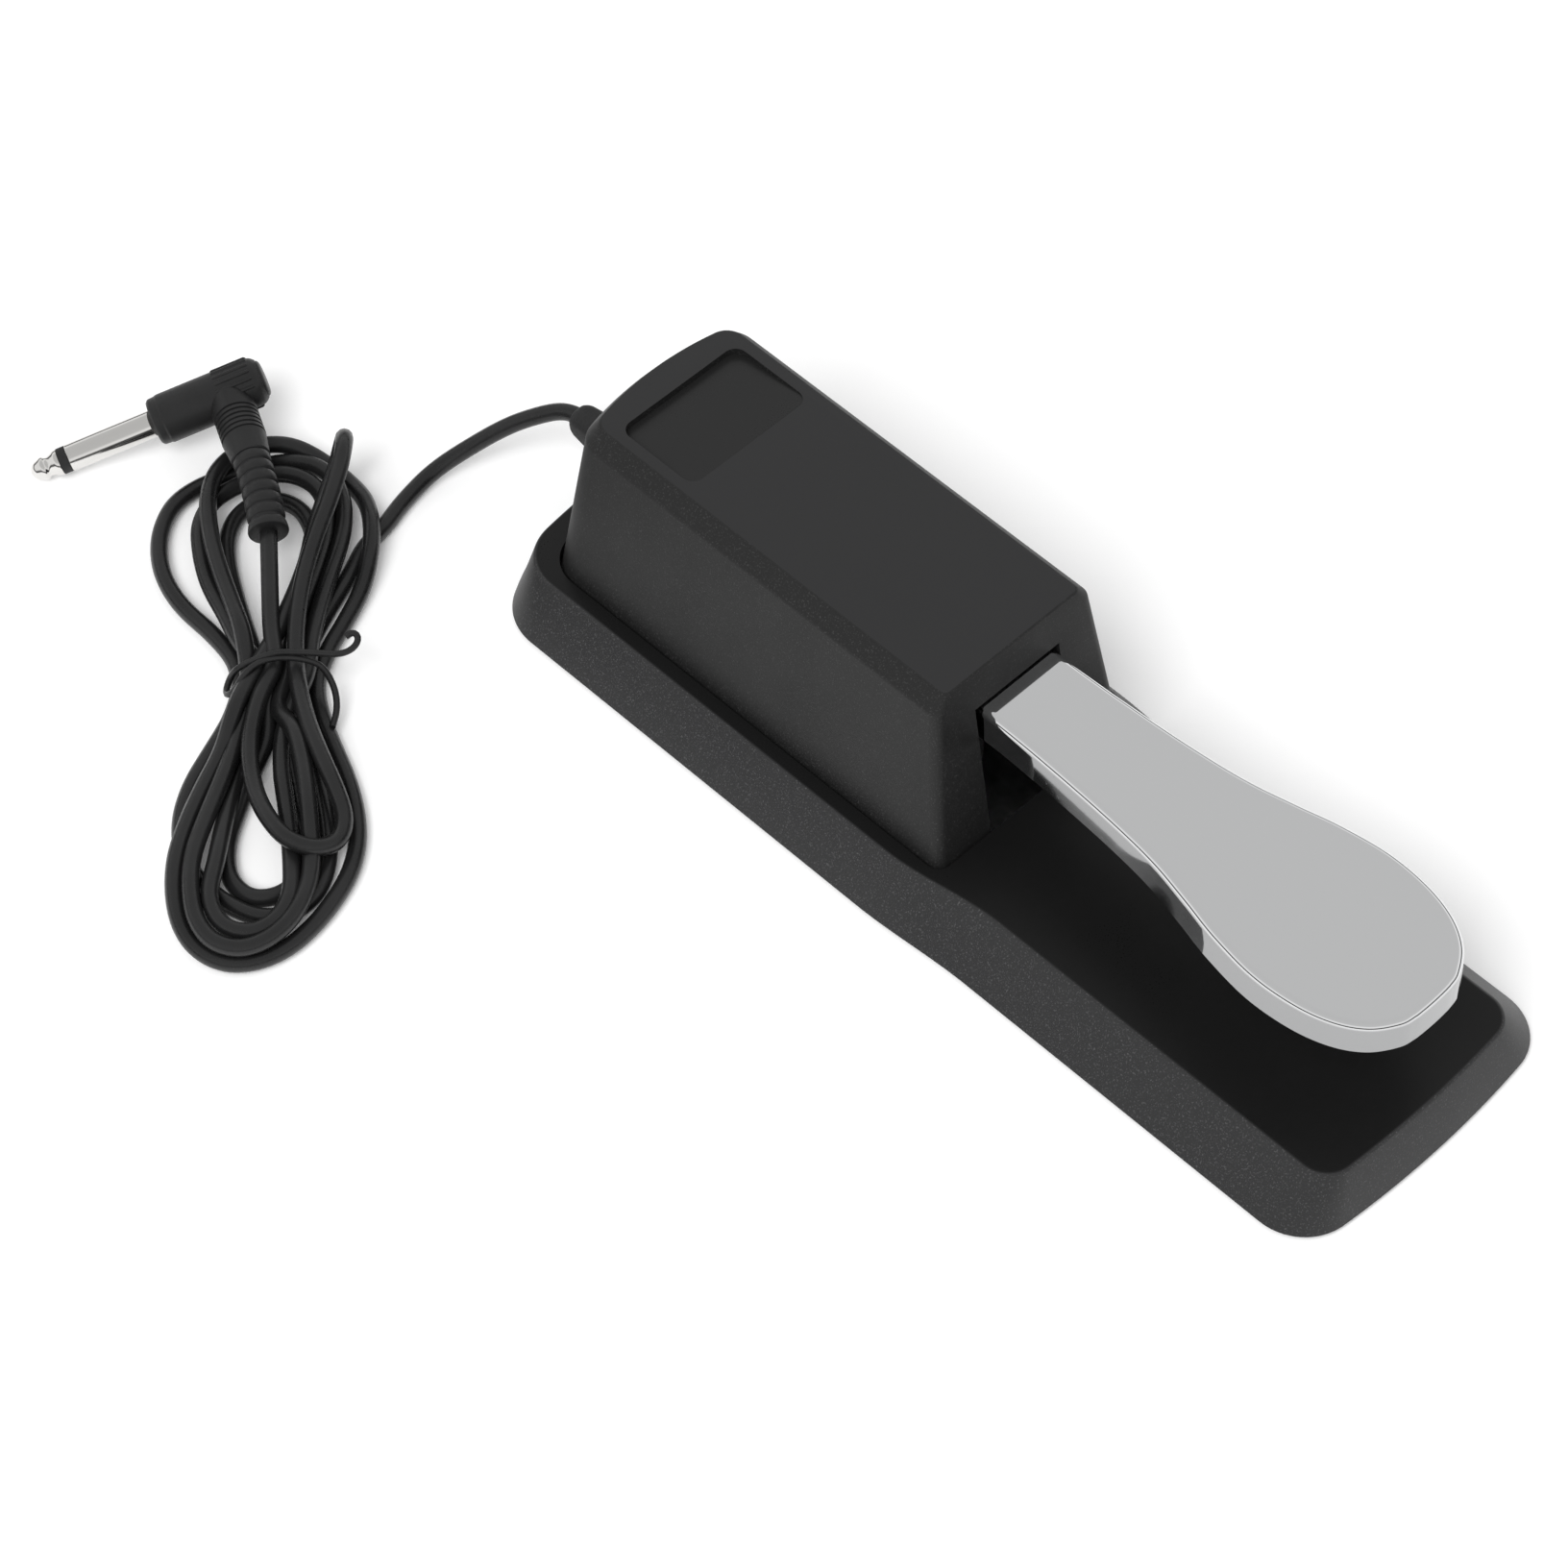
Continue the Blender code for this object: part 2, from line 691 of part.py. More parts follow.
def make_lever_arm():
    """Moulded lever: a bar under the pedal plate that runs back to a hub on the shaft."""
    side = [
        (ARM_FRONT_Y, ARM_UNDER_Z),
        (70.0 * MM, ARM_UNDER_Z),
        (PIVOT.y, PIVOT.z - 3.0 * MM),
        (PIVOT.y + 3.0 * MM, PIVOT.z + 4.0 * MM),
        (PIVOT.y - 2.0 * MM, PIVOT.z + HUB_RADIUS - 1.0 * MM),
        (64.0 * MM, ARM_TOP_Z),
        (ARM_FRONT_Y, ARM_TOP_Z),
    ]
    rings = [[Vector((x, y, z)) for y, z in side] for x in (-ARM_HALF, ARM_HALF)]
    arm = loft("lever_arm", rings, nylon())
    hub = [(HUB_RADIUS, 0.0), (HUB_RADIUS, 2.0 * HUB_HALF)]
    join(arm, turned("hub", hub, nylon(), along_x(-HUB_HALF, PIVOT.y, PIVOT.z)))
    spigot = [(3.6 * MM, 34.4 * MM), (4.1 * MM, 35.4 * MM), (4.1 * MM, 39.0 * MM)]
    join(arm, turned("spigot", spigot, nylon(), Matrix.Translation((0.0, SPRING_Y, 0.0)), SMALL_ROUND))
    bore = SHAFT_RADIUS + 0.5 * MM
    through = [(bore, 0.0), (bore, 30.0 * MM)]
    cut(arm, turned("bore", through, nylon(), along_x(-15.0 * MM, PIVOT.y, PIVOT.z)))
    pocket = [(4.0 * MM + GAP, 0.0), (4.0 * MM + GAP, 10.0 * MM)]
    for start in (-HUB_HALF - 5.0 * MM, HUB_HALF - 5.0 * MM):
        cut(arm, turned("pocket", pocket, nylon(), along_x(start, PIVOT.y, PIVOT.z)))
    shape = bmesh.new()
    for y in LEVER_SCREW_Y:
        post_into(shape, 0.0, y, 2.1 * MM, 39.6 * MM, 50.0 * MM, SMALL_ROUND)
    cut(arm, from_bmesh("arm_bores", shape, nylon()))
    return to_pivot(smooth(arm))


def make_lever_screws():
    """Two screws through the pedal plate into the lever, hidden inside the housing."""
    head_z = PEDAL_TOP_Z + GAP
    profile = [
        (1.7 * MM, 40.0 * MM), (1.7 * MM, head_z), (3.4 * MM, head_z),
        (3.4 * MM, head_z + 1.4 * MM), (2.4 * MM, head_z + 2.0 * MM),
    ]
    for name, y in zip(("front", "rear"), LEVER_SCREW_Y):
        place = Matrix.Translation((0.0, y, 0.0))
        to_pivot(smooth(turned("lever_screw_" + name, profile, steel(), place, SMALL_ROUND)))


# ---------------------------------------------------------------- pivot


def make_pivot():
    """Shaft, bushes, washers and clips, all on the hinge line."""
    reach = 17.6 * MM
    shaft = [
        (SHAFT_RADIUS - 0.5 * MM, 0.0), (SHAFT_RADIUS, 0.5 * MM),
        (SHAFT_RADIUS, 2.0 * reach - 0.5 * MM), (SHAFT_RADIUS - 0.5 * MM, 2.0 * reach),
    ]
    smooth(turned("pivot_shaft", shaft, steel(), along_x(-reach, PIVOT.y, PIVOT.z)))
    inner = SHAFT_RADIUS + SHAFT_FIT
    depth = 4.7 * MM
    for name, side in (("right", 1.0), ("left", -1.0)):
        bush_x = HUB_HALF - depth if side > 0.0 else -HUB_HALF
        place = along_x(bush_x, PIVOT.y, PIVOT.z)
        to_pivot(ring_solid("pivot_bush_" + name, 4.0 * MM, inner, depth, brass(), place))
        washer_x = 11.4 * MM if side > 0.0 else -12.6 * MM
        place = along_x(washer_x, PIVOT.y, PIVOT.z)
        ring_solid("pivot_washer_" + name, 5.5 * MM, inner, 1.2 * MM, nylon(), place)
        clip_x = 15.1 * MM if side > 0.0 else -16.1 * MM
        place = along_x(clip_x, PIVOT.y, PIVOT.z)
        ring_solid("shaft_clip_" + name, 4.4 * MM, inner, 1.0 * MM, steel(), place)


def make_pivot_bracket():
    """Folded steel bracket: a foot on the bottom plate and two ears that hold the shaft."""
    inner, outer = 13.0 * MM, 14.6 * MM
    half_y = 8.0 * MM
    foot = (PLATE_Z[1] + GAP, PLATE_Z[1] + GAP + 1.6 * MM)
    low, high = (-outer, PIVOT.y - half_y, foot[0]), (outer, PIVOT.y + half_y, foot[1])
    bracket = box("pivot_bracket", low, high, steel())
    ear = [(PIVOT.y - half_y, foot[0]), (PIVOT.y + half_y, foot[0])]
    ear += arc((PIVOT.y, PIVOT.z), half_y, 0.0, 180.0, 10)
    for low, high in ((-outer, -inner), (inner, outer)):
        rings = [[Vector((x, y, z)) for y, z in ear] for x in (low, high)]
        join(bracket, loft("ear", rings, steel()))
    bore = [(SHAFT_RADIUS + SHAFT_FIT, 0.0), (SHAFT_RADIUS + SHAFT_FIT, 40.0 * MM)]
    cut(bracket, turned("bore", bore, steel(), along_x(-20.0 * MM, PIVOT.y, PIVOT.z)))
    shape = bmesh.new()
    for side in (1.0, -1.0):
        post_into(shape, side * BRACKET_SCREW_X, PIVOT.y, 1.6 * MM, 1.0 * MM, 8.0 * MM, SMALL_ROUND)
    cut(bracket, from_bmesh("bracket_bores", shape, steel()))
    head_z = foot[1] + GAP
    profile = [
        (1.3 * MM, 2.0 * MM), (1.3 * MM, head_z), (2.7 * MM, head_z),
        (2.7 * MM, head_z + 1.2 * MM), (2.0 * MM, head_z + 1.6 * MM),
    ]
    for name, side in (("right", 1.0), ("left", -1.0)):
        place = Matrix.Translation((side * BRACKET_SCREW_X, PIVOT.y, 0.0))
        smooth(turned("bracket_screw_" + name, profile, steel(), place, SMALL_ROUND))
    return smooth(bracket)


# ---------------------------------------------------------------- spring and stops


def make_return_spring():
    """Compression spring with close end turns; a round wire swept along a helix."""
    low = SPRING_Z[0] + SPRING_WIRE
    high = SPRING_Z[1] - SPRING_WIRE
    steps = SPRING_TURNS * 12
    sides = 6
    rings = []
    for i in range(steps + 1):
        t = i / steps
        rise = t - 0.08 * math.sin(2.0 * math.pi * t)
        angle = 2.0 * math.pi * SPRING_TURNS * t
        out = Vector((math.cos(angle), math.sin(angle), 0.0))
        centre = Vector((0.0, SPRING_Y, low + (high - low) * rise)) + out * SPRING_RADIUS
        ring = []
        for k in range(sides):
            spin = 2.0 * math.pi * k / sides
            up = Vector((0.0, 0.0, SPRING_WIRE * math.sin(spin)))
            ring.append(centre + out * SPRING_WIRE * math.cos(spin) + up)
        rings.append(ring)
    smooth(loft("return_spring", rings, steel()), 60.0)


def make_spring_seat():
    profile = [
        (8.5 * MM, PLATE_Z[1] + GAP), (8.5 * MM, 5.2 * MM), (4.2 * MM, 5.2 * MM),
        (4.2 * MM, 11.0 * MM), (3.2 * MM, 12.0 * MM),
    ]
    smooth(turned("spring_seat", profile, nylon(), Matrix.Translation((0.0, SPRING_Y, 0.0))))


def make_stops():
    """A pad above the lever at rest, and a bumper on a pillar under it at full travel."""
    half = (8.5 * MM, 5.6 * MM)
    box("upper_stop_pad", (-half[0], STOP_Y - half[1], ARM_TOP_Z + GAP),
        (half[0], STOP_Y + half[1], 48.0 * MM - GAP), rubber())
    reach = 5.0 * MM
    box("bumper_pillar", (-reach, BUMPER_Y - reach, PLATE_Z[1] + GAP),
        (reach, BUMPER_Y + reach, 27.7 * MM), nylon())
    pad = 5.5 * MM
    low = (-pad, BUMPER_Y - pad, 27.7 * MM + GAP)
    box("lower_stop_pad", low, (pad, BUMPER_Y + pad, 30.6 * MM), rubber())


# ---------------------------------------------------------------- switch


def make_switch():
    """Push switch on a small board, held on two posts under the lever."""
    board_z = (21.8 * MM, 23.4 * MM)
    low, high = (-20.0 * MM, 52.0 * MM, board_z[0]), (20.0 * MM, 71.0 * MM, board_z[1])
    panel = box("circuit_board", low, high, board())
    shape = bmesh.new()
    for side in (1.0, -1.0):
        post_into(shape, side * POST_X, SWITCH_Y, 1.4 * MM, 20.0 * MM, 25.0 * MM, SMALL_ROUND)
    cut(panel, from_bmesh("board_bores", shape, board()))
    half = (10.0 * MM, 3.3 * MM)
    body = box("switch_body", (-half[0], SWITCH_Y - half[1], board_z[1] + GAP),
               (half[0], SWITCH_Y + half[1], 33.7 * MM), nylon())
    shape = bmesh.new()
    post_into(shape, 0.0, SWITCH_Y, 1.5 * MM + GAP, 27.6 * MM, 35.0 * MM, SMALL_ROUND)
    cut(body, from_bmesh("plunger_bore", shape, nylon()))
    profile = [(1.5 * MM, 30.5 * MM), (1.5 * MM, 37.1 * MM), (1.1 * MM, 37.5 * MM)]
    place = Matrix.Translation((0.0, SWITCH_Y, 0.0))
    smooth(turned("switch_plunger", profile, nylon(), place, SMALL_ROUND))
    for name, side in (("right", 1.0), ("left", -1.0)):
        place = Matrix.Translation((side * POST_X, SWITCH_Y, 0.0))
        profile = [(2.6 * MM, PLATE_Z[1] + GAP), (2.6 * MM, board_z[0] - GAP)]
        post = turned("board_post_" + name, profile, brass(), place, SMALL_ROUND)
        bore = [(1.4 * MM, 16.5 * MM), (1.4 * MM, 24.0 * MM)]
        smooth(cut(post, turned("bore", bore, brass(), place, SMALL_ROUND)))
        head_z = board_z[1] + GAP
        profile = [
            (1.05 * MM, 17.0 * MM), (1.05 * MM, head_z), (2.2 * MM, head_z),
            (2.2 * MM, head_z + 0.9 * MM), (1.6 * MM, head_z + 1.3 * MM),
        ]
        smooth(turned("board_screw_" + name, profile, steel(), place, SMALL_ROUND))


def make_inner_wires():
    """Two leads from the board round the bracket to the cord's stripped end."""
    for name, side in (("right", 1.0), ("left", -1.0)):
        route = millimetres([
            (side * 18.2, 67.0, 24.5),
            (side * 18.6, 72.0, 23.9),
            (side * 18.5, 79.0, 22.4),
            (side * 18.0, 87.5, 21.6),
            (side * 13.6, 92.0, 21.6),
            (side * 6.0, 93.6, 21.6),
            (side * 1.5, 94.4, 21.6),
        ])
        cord_tube("lead_wire_" + name, route, 3, 0.6 * MM, cord_vinyl(), 1)


# ---------------------------------------------------------------- cord exit


def make_cord_tail():
    route = millimetres([(0.0, 95.0, 21.6), (0.0, 98.7, 21.6), (0.0, 102.4, 21.6), (0.0, 106.1, 21.6)])
    cord_tube("cord_tail", route, 1, CORD_RADIUS, cord_vinyl())
    half = 6.0 * MM
    low = (-half, 97.0 * MM, PLATE_Z[1] + GAP)
    clamp = box("cord_clamp", low, (half, 103.0 * MM, 26.6 * MM), nylon())
    bore = [(CORD_RADIUS + GAP, 0.0), (CORD_RADIUS + GAP, 12.0 * MM)]
    turn = Matrix.Translation((0.0, 94.0 * MM, CORD_Z)) @ Matrix.Rotation(math.radians(-90.0), 4, "X")
    smooth(cut(clamp, turned("bore", bore, nylon(), turn)))


def relief_section(half, corner, y):
    """A square section with round corners, across the cord's axis."""
    return [Vector((x, y, CORD_Z + z)) for x, z in round_box(half, half, corner)]


def make_strain_relief():
    """Moulded bush held in the housing's rear wall, tapering along the cord."""
    inner_y, wall_in_y, wall_out_y = 106.4 * MM, 108.7 * MM, 113.3 * MM
    end = RELIEF_END_Y
    stations = [
        (5.6, 1.2, inner_y),
        (5.6, 1.2, wall_in_y),
        (3.9, 1.2, wall_in_y),
        (3.9, 1.2, wall_out_y),
        (5.3, 1.4, wall_out_y),
        (5.3, 1.6, wall_out_y + 1.8 * MM),
        (4.5, 2.0, wall_out_y + 2.2 * MM),
        (3.7, 2.4, end - 4.0 * MM),
        (3.3, 2.4, end - 1.2 * MM),
        (2.9, 2.2, end - 0.4 * MM),
        (2.5, 2.0, end),
    ]
    rings = [relief_section(half * MM, corner * MM, y) for half, corner, y in stations]
    smooth(loft("strain_relief", rings, rubber()), 40.0)


# ---------------------------------------------------------------- cord, hank and tie


def hank_point(along, across, z):
    """A place in the hank: along it from its top end, across it, and its height."""
    direction = Vector((math.cos(HANK_YAW), math.sin(HANK_YAW), 0.0))
    side = Vector((-direction.y, direction.x, 0.0))
    return HANK_TOP + direction * along + side * across + Vector((0.0, 0.0, z))


def make_cord_lead():
    cord_tube("cord_lead", millimetres(LEAD_ROUTE), 1, CORD_RADIUS, cord_vinyl())


def make_cord_hank():
    """The hank's outer shape: two lobes and a taller bundle where the tie holds it."""
    low = spline(millimetres((along, across, 0.0) for along, across, _ in HANK_STATIONS), 2)
    high = spline(millimetres((along, across, 0.0) for along, _, across in HANK_STATIONS), 2)
    outline = [(point.x, point.y) for point in low + high[::-1]]
    rings = [[hank_point(along, across, z) for along, across in outline] for z in HANK_Z]
    hank = loft("cord_hank", rings, cord_vinyl())
    waist = arc((WAIST_TO - WAIST_HALF, 0.0), WAIST_HALF, -90.0, 90.0, 8)
    waist += [(WAIST_FROM, WAIST_HALF - 1.0 * MM), (WAIST_FROM, 1.0 * MM - WAIST_HALF)]
    rings = [[hank_point(along, across, z) for along, across in waist] for z in (4.0 * MM, WAIST_TOP_Z)]
    join(hank, loft("waist", rings, cord_vinyl()))
    return smooth(hank)


def make_plug_lead():
    """The short free run from the plug's boot down to the tied bundle."""
    direction = (BOOT_END - plug_point(0.0, BRANCH_OUT, 0.0)).normalized()
    start = BOOT_END + direction * 0.4 * MM
    end = hank_point(WAIST_FROM - 0.7 * MM, -1.2 * MM, 11.5 * MM)
    middle = start.lerp(end, 0.5) + Vector((0.0, 0.0, 0.3 * MM))
    cord_tube("cord_plug_lead", [start, middle, end], 2, CORD_RADIUS, cord_vinyl())


def make_twist_tie():
    """Plastic-covered wire that grips the bundle, with one end twisted and left to curl."""
    over = [
        (-12.3, 1.4), (-12.4, 6.0), (-11.9, 9.0), (-10.2, 11.8), (-7.0, 13.0), (0.0, 13.1),
        (7.0, 13.0), (11.0, 12.7), (15.0, 12.4), (18.2, 13.0), (19.8, 14.6), (19.2, 16.2),
    ]
    route = [hank_point(TIE_AT, across * MM, z * MM) for across, z in over]
    cord_tube("twist_tie", route, 2, TIE_RADIUS, cord_vinyl(), 2)


# ---------------------------------------------------------------- plug


def plug_matrix():
    """The plug's frame: origin at the jack's root, +X to its tip, +Y to the cord branch."""
    turn = Matrix.Rotation(PLUG_YAW, 4, "Z") @ Matrix.Rotation(PLUG_DROP, 4, "Y")
    root = PLUG_TIP - (turn @ Vector((JACK_LENGTH, 0.0, 0.0)))
    return Matrix.Translation(root) @ turn


def plug_point(forward, out, up):
    """A point in the plug's frame, measured from where the branch leaves the body."""
    return plug_matrix() @ Vector((forward - BRANCH_BACK, out, up))


def forward_axis(start):
    """Lay a turned piece's own Z axis along the plug's +X."""
    return plug_matrix() @ along_x(start, 0.0, 0.0)


def make_plug_body():
    """Right-angle moulding: a round body and a ribbed branch for the cord."""
    collar = 5.1 * MM
    length = PLUG_BACK
    barrel = [
        (PLUG_RADIUS - 0.6 * MM, 0.0), (PLUG_RADIUS, 0.6 * MM), (PLUG_RADIUS, length - 1.4 * MM),
        (collar, length - 1.4 * MM), (collar, length - 0.3 * MM), (collar - 0.3 * MM, length),
    ]
    body = turned("plug_body", barrel, rubber(), forward_axis(-length))
    root, tip = 5.2 * MM, 4.5 * MM
    branch = [(root, 0.0), (root, 7.6 * MM)]
    for i in range(6):
        start = 8.0 * MM + i * 1.3 * MM
        branch += [(4.6 * MM, start), (5.0 * MM, start + 0.6 * MM)]
    branch += [(4.7 * MM, 16.2 * MM), (tip, BRANCH_OUT)]
    aside = Matrix.Translation((-BRANCH_BACK, 0.0, 0.0)) @ Matrix.Rotation(math.radians(-90.0), 4, "X")
    join(body, turned("branch", branch, rubber(), plug_matrix() @ aside, 16))
    return smooth(body)


def make_plug_cap():
    profile = [(4.6 * MM, 0.0), (5.2 * MM, 0.5 * MM), (5.2 * MM, 1.2 * MM)]
    smooth(turned("plug_cap", profile, rubber(), forward_axis(-PLUG_BACK - 1.2 * MM - GAP)))


def make_jack():
    """Mono jack: sleeve, insulating ring and waisted tip."""
    radius = 3.175 * MM
    sleeve = [(radius, GAP), (radius, 20.9 * MM)]
    smooth(turned("plug_sleeve", sleeve, nickel(), forward_axis(0.0)))
    ring = [(radius - 0.1 * MM, 21.2 * MM), (radius - 0.1 * MM, 22.7 * MM)]
    smooth(turned("plug_insulator", ring, rubber(), forward_axis(0.0)))
    tip = [
        (3.0, 23.0), (2.95, 23.8), (2.2, 25.4), (2.15, 25.9), (2.7, 26.5), (2.65, 27.2),
        (1.9, 28.9), (1.0, 29.7), (0.4, 30.0),
    ]
    profile = [(r * MM, z * MM) for r, z in tip]
    smooth(turned("plug_tip", profile, nickel(), forward_axis(0.0), 16))


def make_plug_boot():
    """Flexible boot: rings and grooves on a gently bent sleeve, with a flared end."""
    start = plug_point(0.0, BRANCH_OUT + GAP, 0.0)
    outward = (start - plug_point(0.0, 0.0, 0.0)).normalized()
    length = (BOOT_END - start).length
    rings = 6
    profile = []
    for i in range(rings):
        at = i / rings * 0.86
        profile += [(at, 3.2), (at + 0.03, 4.2), (at + 0.085, 4.2), (at + 0.115, 3.2)]
    profile += [(0.88, 3.2), (0.90, 4.5), (0.985, 4.8), (1.0, 4.5)]
    made = []
    for t, radius in profile:
        middle = start + outward * length * 0.5
        centre = start * (1.0 - t) ** 2 + middle * 2.0 * t * (1.0 - t) + BOOT_END * t ** 2
        run = ((middle - start) * (1.0 - t) + (BOOT_END - middle) * t).normalized()
        across = run.cross(Vector((0.0, 0.0, 1.0))).normalized()
        above = across.cross(run)
        ring = []
        for x, y in circle(radius * MM, count=12):
            ring.append(centre + across * x + above * y)
        made.append(ring)
    smooth(loft("plug_boot", made, rubber()))


# ---------------------------------------------------------------- assembly


def build():
    clear_scene()
    make_base_shell()
    make_bottom_plate()
    make_feet()
    make_screws("base_screw_", BASE_SCREWS, 9.0 * MM)
    make_screws("housing_screw_", HOUSING_SCREWS, 12.4 * MM)
    make_ballast()
    make_housing()
    make_pedal_plate()
    make_lever_arm()
    make_lever_screws()
    make_pivot()
    make_pivot_bracket()
    make_return_spring()
    make_spring_seat()
    make_stops()
    make_switch()
    make_inner_wires()
    make_cord_tail()
    make_strain_relief()
    make_cord_lead()
    make_cord_hank()
    make_plug_lead()
    make_twist_tie()
    make_plug_body()
    make_plug_cap()
    make_jack()
    make_plug_boot()


build()
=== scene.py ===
"""Looks of the sustain pedal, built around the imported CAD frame. All lengths are metres.

The toe of the pedal points to -Y and the cord leaves to +Y; the floor is z = 0.
"""
import json
import math

import bmesh
import bpy
from mathutils import Matrix, Vector


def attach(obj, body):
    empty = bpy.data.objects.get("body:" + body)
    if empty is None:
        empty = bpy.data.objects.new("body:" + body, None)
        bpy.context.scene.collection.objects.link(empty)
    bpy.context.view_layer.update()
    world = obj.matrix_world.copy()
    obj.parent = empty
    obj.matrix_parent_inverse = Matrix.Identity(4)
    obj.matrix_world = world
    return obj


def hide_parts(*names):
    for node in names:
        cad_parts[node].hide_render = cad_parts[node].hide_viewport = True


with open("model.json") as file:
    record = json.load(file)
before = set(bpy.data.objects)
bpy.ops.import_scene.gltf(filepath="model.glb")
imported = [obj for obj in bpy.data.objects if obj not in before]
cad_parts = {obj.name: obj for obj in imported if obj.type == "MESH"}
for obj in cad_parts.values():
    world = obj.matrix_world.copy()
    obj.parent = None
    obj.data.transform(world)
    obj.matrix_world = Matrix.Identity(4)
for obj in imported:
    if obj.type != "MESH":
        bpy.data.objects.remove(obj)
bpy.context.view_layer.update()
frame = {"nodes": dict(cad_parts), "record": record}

MM = 0.001
NODES = frame["nodes"]


# ---------------------------------------------------------------- camera

CAMERA_PLACE = Vector((-0.5059, -0.4151, 0.8628))
CAMERA_AZIMUTH = math.radians(-46.597)
CAMERA_ELEVATION = math.radians(52.709)
CAMERA_ROLL = math.radians(1.698)
CAMERA_LENS = 114.86


def make_camera():
    """A long lens that looks down on the pedal from its left front."""
    level = math.cos(CAMERA_ELEVATION)
    back = Vector((
        math.sin(CAMERA_AZIMUTH) * level,
        -math.cos(CAMERA_AZIMUTH) * level,
        math.sin(CAMERA_ELEVATION),
    ))
    right = Vector((math.cos(CAMERA_AZIMUTH), math.sin(CAMERA_AZIMUTH), 0.0))
    up = back.cross(right)
    side = right * math.cos(CAMERA_ROLL) + up * math.sin(CAMERA_ROLL)
    top = up * math.cos(CAMERA_ROLL) - right * math.sin(CAMERA_ROLL)
    data = bpy.data.cameras.new("camera")
    data.lens = CAMERA_LENS
    data.sensor_width = 36.0
    data.clip_start, data.clip_end = 0.02, 20.0
    camera = bpy.data.objects.new("camera", data)
    bpy.context.scene.collection.objects.link(camera)
    turn = Matrix((side, top, back)).transposed().to_4x4()
    camera.matrix_world = Matrix.Translation(CAMERA_PLACE) @ turn
    bpy.context.scene.camera = camera


make_camera()


# ---------------------------------------------------------------- materials


class Paint:
    """Builds one procedural material, node by node."""

    def __init__(self, name, colour, roughness, metallic=0.0):
        self.material = bpy.data.materials.new(name)
        self.material.use_nodes = True
        self.tree = self.material.node_tree
        self.shader = self.tree.nodes["Principled BSDF"]
        self.shader.inputs["Base Color"].default_value = (*colour, 1.0)
        self.shader.inputs["Roughness"].default_value = roughness
        self.shader.inputs["Metallic"].default_value = metallic
        place = self.tree.nodes.new("ShaderNodeTexCoord")
        self.place = place.outputs["Object"]
        self.height = None

    def link(self, output, socket):
        self.tree.links.new(output, socket)

    def noise(self, scale, detail=3.0, stretch=(1.0, 1.0, 1.0)):
        """Noise over the object, with a grain size of about 1 / scale metres."""
        mapping = self.tree.nodes.new("ShaderNodeMapping")
        mapping.inputs["Scale"].default_value = stretch
        self.link(self.place, mapping.inputs["Vector"])
        node = self.tree.nodes.new("ShaderNodeTexNoise")
        node.inputs["Scale"].default_value = scale
        node.inputs["Detail"].default_value = detail
        self.link(mapping.outputs["Vector"], node.inputs["Vector"])
        return node.outputs["Fac"]

    def ramp(self, value, low, high, out_low, out_high):
        """A value moved from one range to another, and held inside it."""
        node = self.tree.nodes.new("ShaderNodeMapRange")
        self.link(value, node.inputs["Value"])
        sockets = ("From Min", "From Max", "To Min", "To Max")
        for socket, number in zip(sockets, (low, high, out_low, out_high)):
            node.inputs[socket].default_value = number
        return node.outputs["Result"]

    def maths(self, operation, a, b):
        node = self.tree.nodes.new("ShaderNodeMath")
        node.operation = operation
        for socket, value in zip(node.inputs, (a, b)):
            if isinstance(value, (int, float)):
                socket.default_value = value
            else:
                self.link(value, socket)
        return node.outputs["Value"]

    def slope(self, level, steep):
        """0 on faces that lie flat and 1 on faces that lean, from the surface's own normal."""
        node = self.tree.nodes.new("ShaderNodeNewGeometry")
        parts = self.tree.nodes.new("ShaderNodeSeparateXYZ")
        self.link(node.outputs["True Normal"], parts.inputs["Vector"])
        return self.ramp(parts.outputs["Z"], level, steep, 0.0, 1.0)

    def colour_mix(self, value, first, second):
        node = self.tree.nodes.new("ShaderNodeMix")
        node.data_type = "RGBA"
        self.link(value, node.inputs["Factor"])
        for socket, colour in zip((node.inputs[6], node.inputs[7]), (first, second)):
            if isinstance(colour, tuple):
                socket.default_value = (*colour, 1.0)
            else:
                self.link(colour, socket)
        return node.outputs[2]

    def colour(self, output):
        self.link(output, self.shader.inputs["Base Color"])

    def roughness(self, output):
        self.link(output, self.shader.inputs["Roughness"])

    def bump(self, value, strength, distance):
        """Adds a layer of relief on top of those already there."""
        node = self.tree.nodes.new("ShaderNodeBump")
        node.inputs["Distance"].default_value = distance
        if isinstance(strength, (int, float)):
            node.inputs["Strength"].default_value = strength
        else:
            self.link(strength, node.inputs["Strength"])
        self.link(value, node.inputs["Height"])
        if self.height is not None:
            self.link(self.height, node.inputs["Normal"])
        self.height = node.outputs["Normal"]
        self.link(self.height, self.shader.inputs["Normal"])


